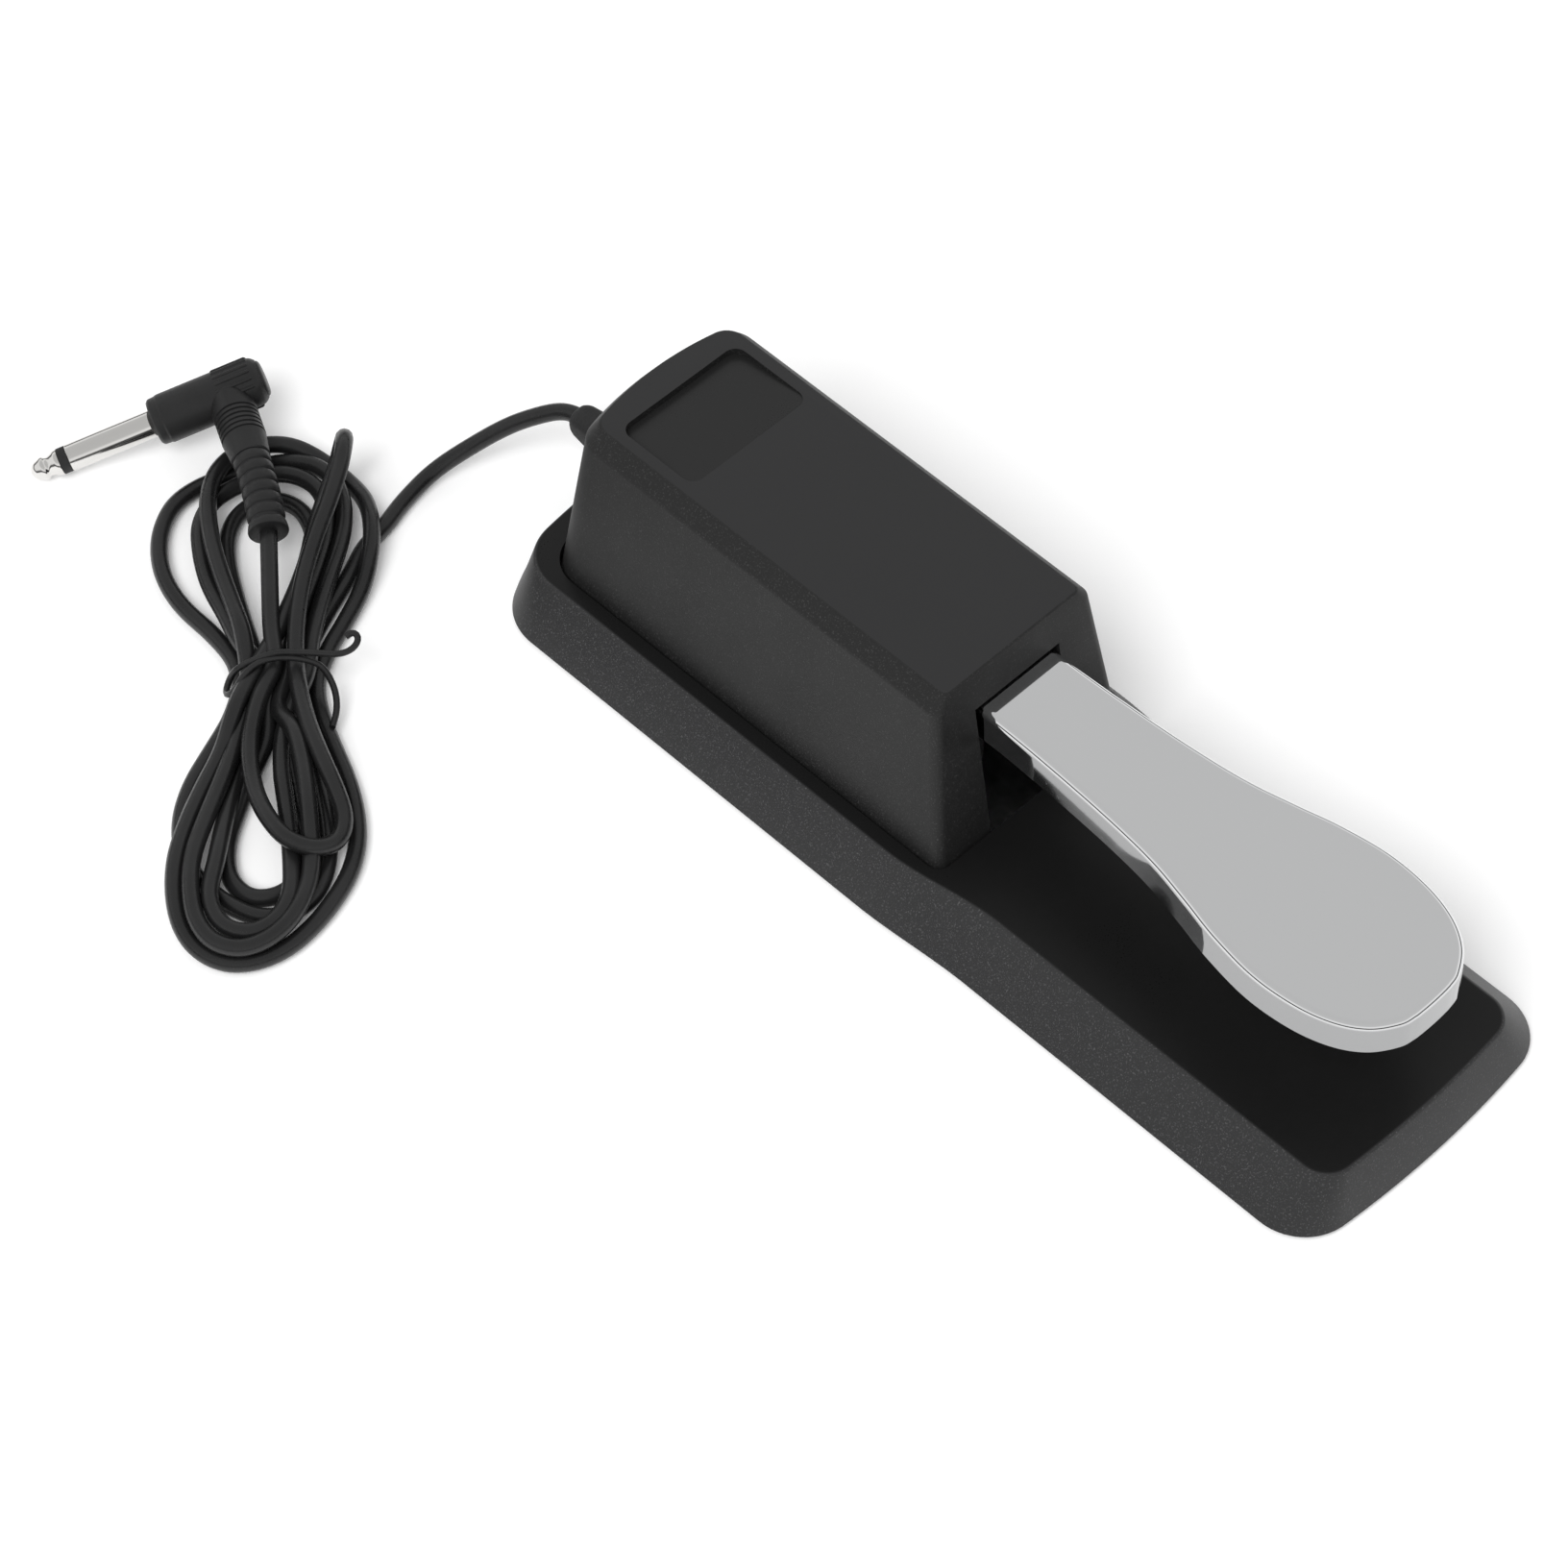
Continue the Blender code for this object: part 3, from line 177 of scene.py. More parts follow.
def grained_plastic(name, flat, leaning, roughness, gloss):
    """Moulded plastic: nearly smooth where it lies flat, spark-grained where it leans.

    flat and leaning are colours; gloss is a specular level for flat faces and one for leaning faces.
    """
    paint = Paint(name, flat, roughness)
    lean = paint.slope(0.985, 0.93)
    grain = paint.noise(2600.0, 4.0)
    cloud = paint.noise(38.0, 3.0)
    speck = paint.ramp(grain, 0.56, 0.72, 0.0, 1.0)
    sparkle = paint.maths("MULTIPLY", speck, lean)
    bright = tuple(min(1.0, part * 3.2) for part in leaning)
    side = paint.colour_mix(sparkle, leaning, bright)
    paint.colour(paint.colour_mix(lean, flat, side))
    shine = paint.maths("ADD", paint.maths("MULTIPLY", lean, gloss[1] - gloss[0]), gloss[0])
    paint.link(shine, paint.shader.inputs["Specular IOR Level"])
    haze = paint.ramp(cloud, 0.3, 0.7, -0.04, 0.05)
    fine = paint.ramp(grain, 0.3, 0.7, -0.05, 0.06)
    flat_part = paint.maths("ADD", haze, roughness)
    lean_part = paint.maths("MULTIPLY", lean, 0.10)
    paint.roughness(paint.maths("ADD", paint.maths("ADD", flat_part, lean_part), fine))
    paint.bump(grain, paint.maths("ADD", paint.maths("MULTIPLY", lean, 0.30), 0.08), 0.00006)
    paint.bump(cloud, 0.05, 0.0003)
    return paint.material


def plated(name, colour, roughness, haze, side=None):
    """Polished plate with faint polishing lines, wipe marks and a few fine scratches.

    side, where it is given, is painted shade: a darker grey for the upright faces that stands in for a dimmer
    reflection in them, while the plate itself is the same all over.
    """
    paint = Paint(name, colour, roughness, 1.0)
    if side:
        # Painted shade: the upright faces take the darker side grey in place of a dimmer mirrored floor.
        paint.colour(paint.colour_mix(paint.slope(0.55, 0.15), colour, side))
    smear = paint.noise(24.0, 4.0, (1.0, 0.35, 1.0))
    lines = paint.noise(900.0, 2.0, (1.0, 0.03, 1.0))
    scratch = paint.ramp(paint.noise(420.0, 1.0, (0.06, 1.4, 1.0)), 0.70, 0.74, 0.0, 0.05)
    dull = paint.ramp(smear, 0.35, 0.75, roughness, roughness + haze)
    paint.roughness(paint.maths("ADD", dull, scratch))
    paint.bump(lines, 0.012, 0.00002)
    paint.bump(smear, 0.006, 0.0004)
    return paint.material


def soft_black(name, colour, roughness, grain, strength, gloss):
    """Rubber, vinyl or nylon: a fine skin with cloudy gloss."""
    paint = Paint(name, colour, roughness)
    paint.shader.inputs["Specular IOR Level"].default_value = gloss
    fine = paint.noise(grain, 3.0)
    cloud = paint.noise(70.0, 3.0)
    lighter = tuple(part * 1.7 + 0.002 for part in colour)
    paint.colour(paint.colour_mix(paint.ramp(cloud, 0.35, 0.75, 0.0, 0.7), colour, lighter))
    spread = paint.ramp(fine, 0.3, 0.7, -0.07, 0.07)
    haze = paint.ramp(cloud, 0.3, 0.7, -0.04, 0.04)
    paint.roughness(paint.maths("ADD", paint.maths("ADD", spread, roughness), haze))
    paint.bump(fine, strength, 0.00008)
    return paint.material


def sheet_metal(name, colour, roughness, streak):
    """Zinc-plated or machined metal with directional brushing and spangle."""
    paint = Paint(name, colour, roughness, 1.0)
    brush = paint.noise(700.0, 2.0, streak)
    spangle = paint.noise(160.0, 2.0)
    darker = tuple(part * 0.72 for part in colour)
    paint.colour(paint.colour_mix(paint.ramp(spangle, 0.35, 0.65, 0.0, 1.0), colour, darker))
    paint.roughness(paint.ramp(brush, 0.3, 0.7, roughness - 0.08, roughness + 0.1))
    paint.bump(brush, 0.08, 0.00004)
    return paint.material


def circuit_green(name):
    """Solder mask with slightly lighter tracks under it."""
    mask, track = (0.03, 0.16, 0.07), (0.05, 0.24, 0.11)
    paint = Paint(name, mask, 0.42)
    weave = paint.noise(1500.0, 2.0)
    tracks = paint.ramp(paint.noise(240.0, 0.0, (1.0, 0.2, 1.0)), 0.52, 0.54, 0.0, 1.0)
    paint.colour(paint.colour_mix(tracks, mask, track))
    paint.roughness(paint.ramp(weave, 0.3, 0.7, 0.35, 0.5))
    paint.bump(weave, 0.1, 0.00004)
    return paint.material


BASE_PLASTIC = grained_plastic(
    "base_plastic_look",
    flat=(0.0075,) * 3,
    leaning=(0.0225, 0.0225, 0.023),
    roughness=0.34,
    gloss=(0.20, 0.32),
)
HOUSING_PLASTIC = grained_plastic(
    "housing_plastic_look",
    flat=(0.019, 0.019, 0.0195),
    leaning=(0.013,) * 3,
    roughness=0.42,
    gloss=(0.32, 0.26),
)
PANEL_PLASTIC = grained_plastic(
    "panel_plastic_look",
    flat=(0.014,) * 3,
    leaning=(0.012,) * 3,
    roughness=0.32,
    gloss=(0.26, 0.22),
)
# The last colour is painted shade on the pedal's upright skirt: a darker grey standing in for a dimmer
# reflection of the floor.
CHROME = plated("chrome_look", (0.77, 0.775, 0.78), 0.03, 0.03, (0.37, 0.372, 0.375))
NICKEL = plated("nickel_look", (0.74, 0.73, 0.71), 0.09, 0.06)
RUBBER = soft_black("rubber_look", (0.012, 0.012, 0.0122), 0.62, 1800.0, 0.22, 0.4)
PLUG_RUBBER = soft_black("plug_rubber_look", (0.011, 0.011, 0.0112), 0.46, 1700.0, 0.18, 0.36)
VINYL = soft_black("vinyl_look", (0.008, 0.008, 0.0082), 0.33, 1300.0, 0.10, 0.42)
NYLON = soft_black("nylon_look", (0.030, 0.030, 0.031), 0.5, 1200.0, 0.12, 0.45)
STEEL = sheet_metal("zinc_steel_look", (0.56, 0.57, 0.58), 0.34, (1.0, 0.05, 1.0))
BRASS = sheet_metal("brass_look", (0.78, 0.60, 0.28), 0.3, (1.0, 1.0, 0.05))
BOARD = circuit_green("board_look")

LOOKS = {
    "base_plastic": BASE_PLASTIC,
    "housing_plastic": HOUSING_PLASTIC,
    "chrome": CHROME,
    "zinc_steel": STEEL,
    "rubber": RUBBER,
    "nylon": NYLON,
    "brass": BRASS,
    "board": BOARD,
    "cord_vinyl": VINYL,
    "nickel": NICKEL,
}


def dress_cad_nodes():
    """Gives each CAD node the look of its record slot."""
    for part in frame["record"]["subparts"]:
        node = NODES[part["node"]]
        node.data.materials.clear()
        node.data.materials.append(LOOKS[part["material_slot"]])


dress_cad_nodes()


# ---------------------------------------------------------------- cord

CORD_DIAMETER = 4.0 * MM
# From the strain relief down to the floor and on to the hank, in millimetres.
LEAD_ROUTE = [
    (0.0, 130.0, 21.6),
    (0.0, 130.8, 21.6),
    (-0.3, 133.0, 21.2),
    (-1.6, 135.8, 19.9),
    (-4.1, 138.9, 18.0),
    (-7.7, 142.9, 15.0),
    (-12.0, 146.5, 11.4),
    (-15.9, 149.2, 8.2),
    (-19.7, 151.2, 5.8),
    (-22.9, 152.3, 4.2),
    (-26.8, 152.7, 3.0),
    (-32.0, 152.1, 2.3),
    (-36.6, 151.1, 2.2),
    (-41.2, 149.5, 2.2),
]
HANK_TOP = Vector((-39.5, 187.8, 0.0)) * MM
HANK_YAW = math.radians(-131.8)
# One lobe after another, through the waist 75 mm along the hank, and at last up into the plug's boot.
# Each point is (along the hank, across it, height) in millimetres.
HANK_ROUTE = [
    (36.8, 19, 2.2), (43.6, 16.2, 2.2), (50.4, 12.8, 2.2), (57.5, 9.4, 2.2), (66, 6, 2.2),
    (75, 4.1, 2.2),
    (84, 5.2, 2.2), (92, 7, 2.2), (101, 8.6, 2.3), (110, 10, 2.4), (118.5, 10.8, 2.4),
    (126, 10.2, 2.3), (132.6, 7.4, 2.2), (136.8, 2.5, 2.2), (137.5, -3.5, 2.2), (134.9, -9, 2.2),
    (130.6, -14, 2.2), (125, -18.2, 2.2), (118.5, -20.5, 2.2), (110.6, -20.8, 2.2), (102, -18.8, 2.2),
    (93, -14.6, 2.2), (84, -10.4, 2.2), (75, -8.4, 2.2),
    (67.5, -9.8, 2.2), (60, -14.6, 2.3), (52, -21.2, 2.4), (44.4, -25.1, 2.5), (37, -26.6, 2.5),
    (29.6, -26.2, 2.5), (22.6, -23.6, 2.5), (17.6, -18.4, 2.5), (14.6, -11.6, 2.8), (13.2, -4.6, 4),
    (13.2, 2, 5.4), (14.6, 7.8, 6), (18.6, 12, 6.2), (25, 14.4, 6.2), (33, 14.8, 6.2),
    (40.6, 13.4, 6.2), (48, 11.4, 6.2), (57, 9.2, 6.2), (66, 7.4, 6), (75, 6.3, 5.7),
    (83, 3.6, 5.8), (91, 1.4, 6.1), (101, 0.9, 6.2), (111, 1.9, 6.2), (119, 2.6, 6.2), (127, 3, 6.2),
    (134.4, 2.8, 6.2), (140.6, 0.2, 6.2), (144.2, -5.2, 6.2), (142.4, -11.2, 6.4), (135.5, -14.2, 6.5),
    (124.5, -12.8, 6.2), (114.5, -11.4, 5), (104.5, -9.6, 3.4), (94, -7.2, 2.4), (84, -5, 2.2),
    (75, -4.2, 2.2),
    (66, -5.4, 2.2), (56.5, -7.8, 2.2), (47.5, -9.9, 2.2), (39.5, -11.3, 2.2), (32.4, -11.4, 2.2),
    (26, -9.3, 2.2), (22, -4.4, 2.2), (22, 1.2, 2.2), (25.4, 5.4, 2.2), (31.5, 7.6, 2.2),
    (39, 8.4, 2.2), (47.5, 7.4, 2.2), (56.5, 4.6, 2.2), (66, 1.8, 2.2), (75, 0, 2.2),
    (84, 0.6, 2.2), (93, 1.2, 2.2), (103, 2.6, 2.2), (112.5, 4, 2.2), (119.5, 5.8, 2.2),
    (126.4, 5, 2.2), (131.6, 0.8, 2.2), (132.4, -5.4, 2.2), (128, -9.8, 2.2), (119, -10.9, 2.2),
    (108, -8.4, 2.2), (99, -5.6, 2.2), (91, -2.4, 4), (83, -2.4, 5.6), (75, -2.1, 5.7),
    (66, -8, 6), (57, -11.6, 5.6), (47.5, -15.4, 5), (38, -17.2, 4.8), (30, -17.3, 4.8),
    (23.6, -14.4, 5), (19.4, -8.8, 5.2), (17.4, -2.4, 6.2), (17.8, 3.6, 6.2), (21, 8.4, 6),
    (27, 10.8, 6), (35, 10.8, 6), (45, 8.6, 6), (56, 5.4, 6), (66, 3, 5.8), (75, 2.1, 5.7),
    (84, 0, 6.2), (93, 3.8, 9.2), (102, 5.6, 9.6), (111, 6.6, 9.8), (120, 7.2, 8.6), (128, 7.2, 6.4),
    (135, 5.8, 6.4), (141.5, 2.6, 6.4), (146.2, -2, 6.4), (148.4, -7.8, 6.4), (146.6, -13.2, 6.6),
    (141.2, -16.8, 6.8), (133, -18.2, 7), (124, -17.8, 7), (114, -15, 7), (104.5, -12, 6.6),
    (94.5, -9.2, 6.2), (84, -7, 6), (75, -6.3, 5.7),
    (66, -7.4, 9.4), (56, -10, 9), (46, -12.8, 8.8), (36, -14.8, 8.6), (26.5, -15.4, 8.6),
    (18.2, -13.8, 8), (12.2, -9.6, 7.4), (9.2, -3.4, 7), (9.4, 3.2, 6.6), (12.2, 9.8, 4.4),
    (17.6, 15.6, 3.2), (24.6, 19.4, 4.8), (32.6, 20.9, 6.3), (40.6, 20.6, 5.6), (49, 18.6, 3.2),
    (58, 14.6, 2.4), (66, 10.8, 2.2), (75, 8.4, 2.2),
    (84, 9.4, 2.2), (92.5, 11.9, 2.2), (101.5, 14.8, 2.2), (110, 16.6, 2.2), (118.5, 16.9, 2.2),
    (126.6, 15.2, 2.2), (134, 11.6, 2.2), (140.6, 7, 2.2), (145.8, 1.8, 2.3), (149, -4.4, 2.5),
    (149.4, -11, 2.8), (146, -16.8, 3.2), (140, -20.4, 4), (132.5, -21.8, 5.2), (124, -21.5, 6),
    (115, -19.4, 5.8), (105, -16, 5.4), (95, -11.9, 5.6), (85, -8.6, 9), (75, -4.2, 9.2),
    (68, -1, 9), (61, 1.6, 8.6), (53, 4.6, 9.2), (45, 6.9, 9.7), (38.2, 8.1, 9.9), (31.3, 9.9, 9.9),
    (25.6, 11.5, 9.9), (20.8, 13, 10.4), (17.4, 14.3, 12.6), (16.2, 15.2, 16), (18, 15.7, 19.2),
    (22.6, 15.6, 21.2), (28.5, 14.6, 20.6), (35.2, 12.2, 17.6), (43.5, 8.9, 14.6), (52.9, 6.2, 12.6),
    (64.6, 4.4, 10.5), (75, 4.2, 9.2),
    (84, 5.2, 9.6), (92.5, 7, 10.2), (101, 9.6, 10.2), (109, 12.6, 8.8), (115.6, 14.4, 7),
    (121.4, 13.2, 6.8), (124.4, 8.6, 8.4), (123.4, 2.8, 10.2), (118, -1.2, 10.2), (108.5, -4.6, 8.8),
    (98, -5.8, 8.4), (89, -5, 8.8), (81.5, -3, 9.2), (75, -0.4, 9.6),
    (66, -1.1, 10.4), (57, -1.3, 11.6), (49, -1.4, 12.7), (42.4, -1.5, 13.3), (38.8, -1.5, 13.5),
]


def hank_point(along, across, z):
    """A place in the hank: along it from its top end, across it, and its height, in millimetres."""
    direction = Vector((math.cos(HANK_YAW), math.sin(HANK_YAW), 0.0))
    side = Vector((-direction.y, direction.x, 0.0))
    return HANK_TOP + (direction * along + side * across + Vector((0.0, 0.0, z))) * MM


def smooth_line(points, step, rounds=6):
    """Centripetal Catmull-Rom curve through the points, then lightly relaxed."""
    padded = [points[0] * 2.0 - points[1], *points, points[-1] * 2.0 - points[-2]]
    line = []
    for a, b, c, d in zip(padded, padded[1:], padded[2:], padded[3:]):
        knots = [0.0]
        for first, second in ((a, b), (b, c), (c, d)):
            knots.append(knots[-1] + math.sqrt((second - first).length))
        t0, t1, t2, t3 = knots
        count = max(2, int((c - b).length / step))
        for i in range(count):
            t = t1 + (t2 - t1) * i / count
            ab = a.lerp(b, (t - t0) / (t1 - t0))
            bc = b.lerp(c, (t - t1) / (t2 - t1))
            cd = c.lerp(d, (t - t2) / (t3 - t2))
            abc = ab.lerp(bc, (t - t0) / (t2 - t0))
            bcd = bc.lerp(cd, (t - t1) / (t3 - t1))
            line.append(abc.lerp(bcd, (t - t1) / (t2 - t1)))
    line.append(points[-1].copy())
    for _ in range(rounds):
        middle = [(a + b * 2.0 + c) / 4.0 for a, b, c in zip(line, line[1:], line[2:])]
        line = [line[0], *middle, line[-1]]
    return line


def curve_tube(name, line, radius, look, resolution=4):
    """A round cord as a curve of one open spline with filled ends."""
    curve = bpy.data.curves.new(name, "CURVE")
    curve.dimensions = "3D"
    curve.bevel_depth = radius
    curve.bevel_resolution = resolution
    curve.use_fill_caps = True
    spline = curve.splines.new("POLY")
    spline.points.add(len(line) - 1)
    for slot, point in zip(spline.points, line):
        slot.co = (*point, 1.0)
    spline.use_smooth = True
    curve.materials.append(look)
    made = bpy.data.objects.new(name, curve)
    bpy.context.scene.collection.objects.link(made)
    return made


def make_cord():
    """The whole cord, from inside the strain relief to inside the plug's boot."""
    route = [Vector(point) * MM for point in LEAD_ROUTE]
    route += [hank_point(*point) for point in HANK_ROUTE]
    cord = curve_tube("cord", smooth_line(route, 1.0 * MM), CORD_DIAMETER / 2.0, VINYL)
    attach(cord, "base")
    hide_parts("cord_lead", "cord_hank", "cord_plug_lead")
    return cord


# ---------------------------------------------------------------- mesh helpers


def add_mesh(name, shape, look, sharp=35.0):
    """Makes an object of a bmesh: faces outward, smooth shading, sharp where it folds."""
    bmesh.ops.recalc_face_normals(shape, faces=shape.faces)
    mesh = bpy.data.meshes.new(name)
    shape.to_mesh(mesh)
    shape.free()
    mesh.materials.append(look)
    made = bpy.data.objects.new(name, mesh)
    bpy.context.scene.collection.objects.link(made)
    shade(made, sharp)
    return made


def shade(made, sharp):
    made.data.shade_smooth()
    made.data.set_sharp_from_angle(angle=math.radians(sharp))


def loft_into(shape, rings, closed=True):
    rows = [[shape.verts.new(point) for point in ring] for ring in rings]
    count = len(rows[0])
    for low, high in zip(rows, rows[1:]):
        for i in range(count):
            j = (i + 1) % count
            shape.faces.new((low[i], low[j], high[j], high[i]))
    if closed:
        shape.faces.new(rows[0])
        shape.faces.new(rows[-1])
    return rows


def loft(name, rings, look, sharp=35.0):
    shape = bmesh.new()
    loft_into(shape, rings)
    return add_mesh(name, shape, look, sharp)


def lift(outline, z):
    return [Vector((x, y, z)) for x, y in outline]


def circle(radius, count):
    turn = 2.0 * math.pi / count
    return [(radius * math.cos(turn * i), radius * math.sin(turn * i)) for i in range(count)]


def turned(name, profile, look, place, count=64, sharp=35.0):
    """A solid turned about its own Z axis from (radius, z) points."""
    shape = bmesh.new()
    loft_into(shape, [lift(circle(radius, count), z) for radius, z in profile])
    bmesh.ops.transform(shape, matrix=place, verts=shape.verts)
    return add_mesh(name, shape, look, sharp)


def eased(profile, radius, steps=3):
    """Rounds the inner corners of a (radius, z) profile with short quadratic curves."""
    found = [profile[0]]
    for before, at, after in zip(profile, profile[1:], profile[2:]):
        here = Vector(at)
        back, ahead = Vector(before) - here, Vector(after) - here
        reach = min(radius, back.length * 0.45, ahead.length * 0.45)
        start, end = here + back.normalized() * reach, here + ahead.normalized() * reach
        for i in range(steps + 1):
            t = i / steps
            found.append(tuple(start.lerp(here, t).lerp(here.lerp(end, t), t)))
    return found + [profile[-1]]


def boolean(target, tool, operation, sharp=30.0):
    """Joins or cuts with another object, and drops the tool."""
    step = target.modifiers.new("boolean", "BOOLEAN")
    step.object = tool
    step.operation = operation
    step.solver = "EXACT"
    shown = target.evaluated_get(bpy.context.evaluated_depsgraph_get())
    mesh = bpy.data.meshes.new_from_object(shown)
    target.modifiers.clear()
    target.data = mesh
    bpy.data.objects.remove(tool, do_unlink=True)
    shade(target, sharp)
    return target


def arc(centre, radius, start, end, steps):
    found = []
    for i in range(steps + 1):
        angle = math.radians(start + (end - start) * i / steps)
        found.append((centre[0] + radius * math.cos(angle), centre[1] + radius * math.sin(angle)))
    return found


def round_box(half_x, half_y, corner, steps, middle=0.0):
    """Rectangle with round corners, its centre moved along its second axis."""
    points = []
    for i, (sx, sy) in enumerate(((1, 1), (-1, 1), (-1, -1), (1, -1))):
        centre = (sx * (half_x - corner), middle + sy * (half_y - corner))
        points += arc(centre, corner, 90.0 * i, 90.0 * i + 90.0, steps)
    return points


def blend(ring_a, ring_b, t):
    return [a.lerp(b, t) for a, b in zip(ring_a, ring_b)]


def rounded_edge(ring_a, edge, ring_b, steps):
    """Rings that turn smoothly from one ring to another round an edge ring."""
    rings = []
    for i in range(steps + 1):
        t = i / steps
        rings.append(blend(blend(ring_a, edge, t), blend(edge, ring_b, t), t))
    return rings


# ---------------------------------------------------------------- base

FRONT_Y, REAR_Y = -125.0 * MM, 125.0 * MM
DECK_Z, BASE_Z = 13.1 * MM, 1.0 * MM
BASE_HALVES = (41.3 * MM, 39.7 * MM)
TOP_HALVES = (33.3 * MM, 29.8 * MM)
TOP_ENDS = (118.2 * MM, -120.3 * MM)
STEP_Y = (2.0 * MM, -28.0 * MM)
RIM = 0.8 * MM
WALL = 2.5 * MM
BOTTOM_ROUNDS = ((15.0 * MM, 66.0 * MM), (13.0 * MM, 264.0 * MM))
TOP_ROUNDS = ((12.5 * MM, 200.0 * MM), (7.0 * MM, 275.0 * MM))
HOUSING_CLEARANCE = 0.8 * MM


def corner_centre(half, corner, bow):
    across = half - corner
    along = math.sqrt((bow - corner) ** 2 - across ** 2)
    return along, math.degrees(math.atan2(along, across))


def plan(halves, ends, rounds, inset):
    """Outline seen from above: bowed ends, round corners and an S-shaped step in its sides."""
    half_rear, half_front = (half - inset for half in halves)
    corner, bow = (radius - inset for radius in rounds[0])
    along, angle = corner_centre(half_rear, corner, bow)
    middle = ends[0] - inset - bow
    left = arc((0.0, middle), bow, 90.0, 180.0 - angle, 12)
    left += arc((corner - half_rear, middle + along), corner, 180.0 - angle, 180.0, 16)[1:]
    for i in range(17):
        t = i / 16
        y = STEP_Y[0] + (STEP_Y[1] - STEP_Y[0]) * t
        left.append((-(half_rear + (half_front - half_rear) * t * t * (3.0 - 2.0 * t)), y))
    corner, bow = (radius - inset for radius in rounds[1])
    along, angle = corner_centre(half_front, corner, bow)
    middle = ends[1] + inset + bow
    left += arc((corner - half_front, middle - along), corner, 180.0, 180.0 + angle, 16)
    left += arc((0.0, middle), bow, 180.0 + angle, 270.0, 12)[1:]
    return left + [(-x, y) for x, y in reversed(left[1:-1])]


def base_bottom(inset):
    return plan(BASE_HALVES, (REAR_Y, FRONT_Y), BOTTOM_ROUNDS, inset)


def base_top(inset):
    return plan(TOP_HALVES, TOP_ENDS, TOP_ROUNDS, inset)


def make_base():
    """Hollow flared shell, open underneath, with an opening for the housing in its deck."""
    bottom = lift(base_bottom(0.0), BASE_Z)
    edge = lift(base_top(0.0), DECK_Z)
    near = blend(edge, bottom, RIM / (DECK_Z - BASE_Z))
    tuck = lift(base_bottom(0.35 * MM), BASE_Z)
    foot = blend(bottom, edge, 0.03)
    rings = rounded_edge(tuck, bottom, foot, 3) + rounded_edge(near, edge, lift(base_top(RIM), DECK_Z), 6)
    shell = loft("base_look", rings, BASE_PLASTIC)
    below = lift(base_bottom(WALL), BASE_Z - 2.0 * MM)
    inner = lift(base_bottom(WALL), BASE_Z)
    up = (DECK_Z - WALL - BASE_Z) / (DECK_Z - BASE_Z)
    ceiling = blend(inner, lift(base_top(WALL), DECK_Z), up)
    boolean(shell, loft("base_hollow", [below, inner, ceiling], BASE_PLASTIC), "DIFFERENCE")
    opening = housing_at(DECK_Z, -HOUSING_CLEARANCE)
    hole = loft("housing_opening", [lift(opening, 8.0 * MM), lift(opening, 16.0 * MM)], BASE_PLASTIC)
    boolean(shell, hole, "DIFFERENCE")
    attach(shell, "base")
    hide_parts("base_shell")


# ---------------------------------------------------------------- housing

FOOT_Z, CHAMFER_Z, TOP_Z = 6.0 * MM, 53.1 * MM, 57.1 * MM
FOOT_HALF, CHAMFER_HALF, TOP_HALF = 28.7 * MM, 23.8 * MM, 20.4 * MM
FRONTS = (-9.4 * MM, -1.6 * MM, -0.8 * MM)
REARS = (113.3 * MM, 108.2 * MM, 105.6 * MM)
REAR_BOW = 80.0 * MM
REAR_CORNERS = (9.0 * MM, 6.5 * MM, 4.6 * MM)
HOUSING_WALL = 2.4 * MM
CEILING_Z = 54.1 * MM
SLOT_HALF, SLOT_TOP_Z = 12.8 * MM, 47.5 * MM
RECESS_HALF = 17.5 * MM
RECESS_Y = (76.0 * MM, 98.2 * MM)
RECESS_CORNER = 3.0 * MM
RECESS_DEPTH = (0.15 * MM, 1.9 * MM)
CORD_HOLE_HALF = 4.3 * MM
CORD_Z = 21.6 * MM


def housing_plan(half, rear_y, front_y, rear_corner, front_corner):
    """Outline of the housing at one height: bowed at the rear, flat at the front."""
    along, angle = corner_centre(half, rear_corner, REAR_BOW)
    middle = rear_y - REAR_BOW
    left = arc((0.0, middle), REAR_BOW, 90.0, 180.0 - angle, 10)
    left += arc((rear_corner - half, middle + along), rear_corner, 180.0 - angle, 180.0, 14)[1:]
    left += arc((front_corner - half, front_y + front_corner), front_corner, 180.0, 270.0, 8)
    left.append((0.0, front_y))
    return left + [(-x, y) for x, y in reversed(left[1:-1])]


def housing_at(z, inset):
    """Outline of the leaning housing walls at a height, moved inward by inset."""
    t = (z - DECK_Z) / (CHAMFER_Z - DECK_Z)
    half = FOOT_HALF + (CHAMFER_HALF - FOOT_HALF) * t - inset
    rear_y = REARS[0] + (REARS[1] - REARS[0]) * t - inset
    front_y = FRONTS[0] + (FRONTS[1] - FRONTS[0]) * t + inset
    rear_corner = REAR_CORNERS[0] + (REAR_CORNERS[1] - REAR_CORNERS[0]) * t - inset
    return housing_plan(half, rear_y, front_y, rear_corner, max(2.6 * MM - inset, 0.6 * MM))


def housing_top(inset):
    front_corner = max(1.6 * MM - inset, 0.6 * MM)
    rear_corner = REAR_CORNERS[2] - inset
    return housing_plan(TOP_HALF - inset, REARS[2] - inset, FRONTS[2] + inset, rear_corner, front_corner)


def block(name, low, high, look):
    corners = [(low[0], low[1]), (high[0], low[1]), (high[0], high[1]), (low[0], high[1])]
    return loft(name, [lift(corners, low[2]), lift(corners, high[2])], look)


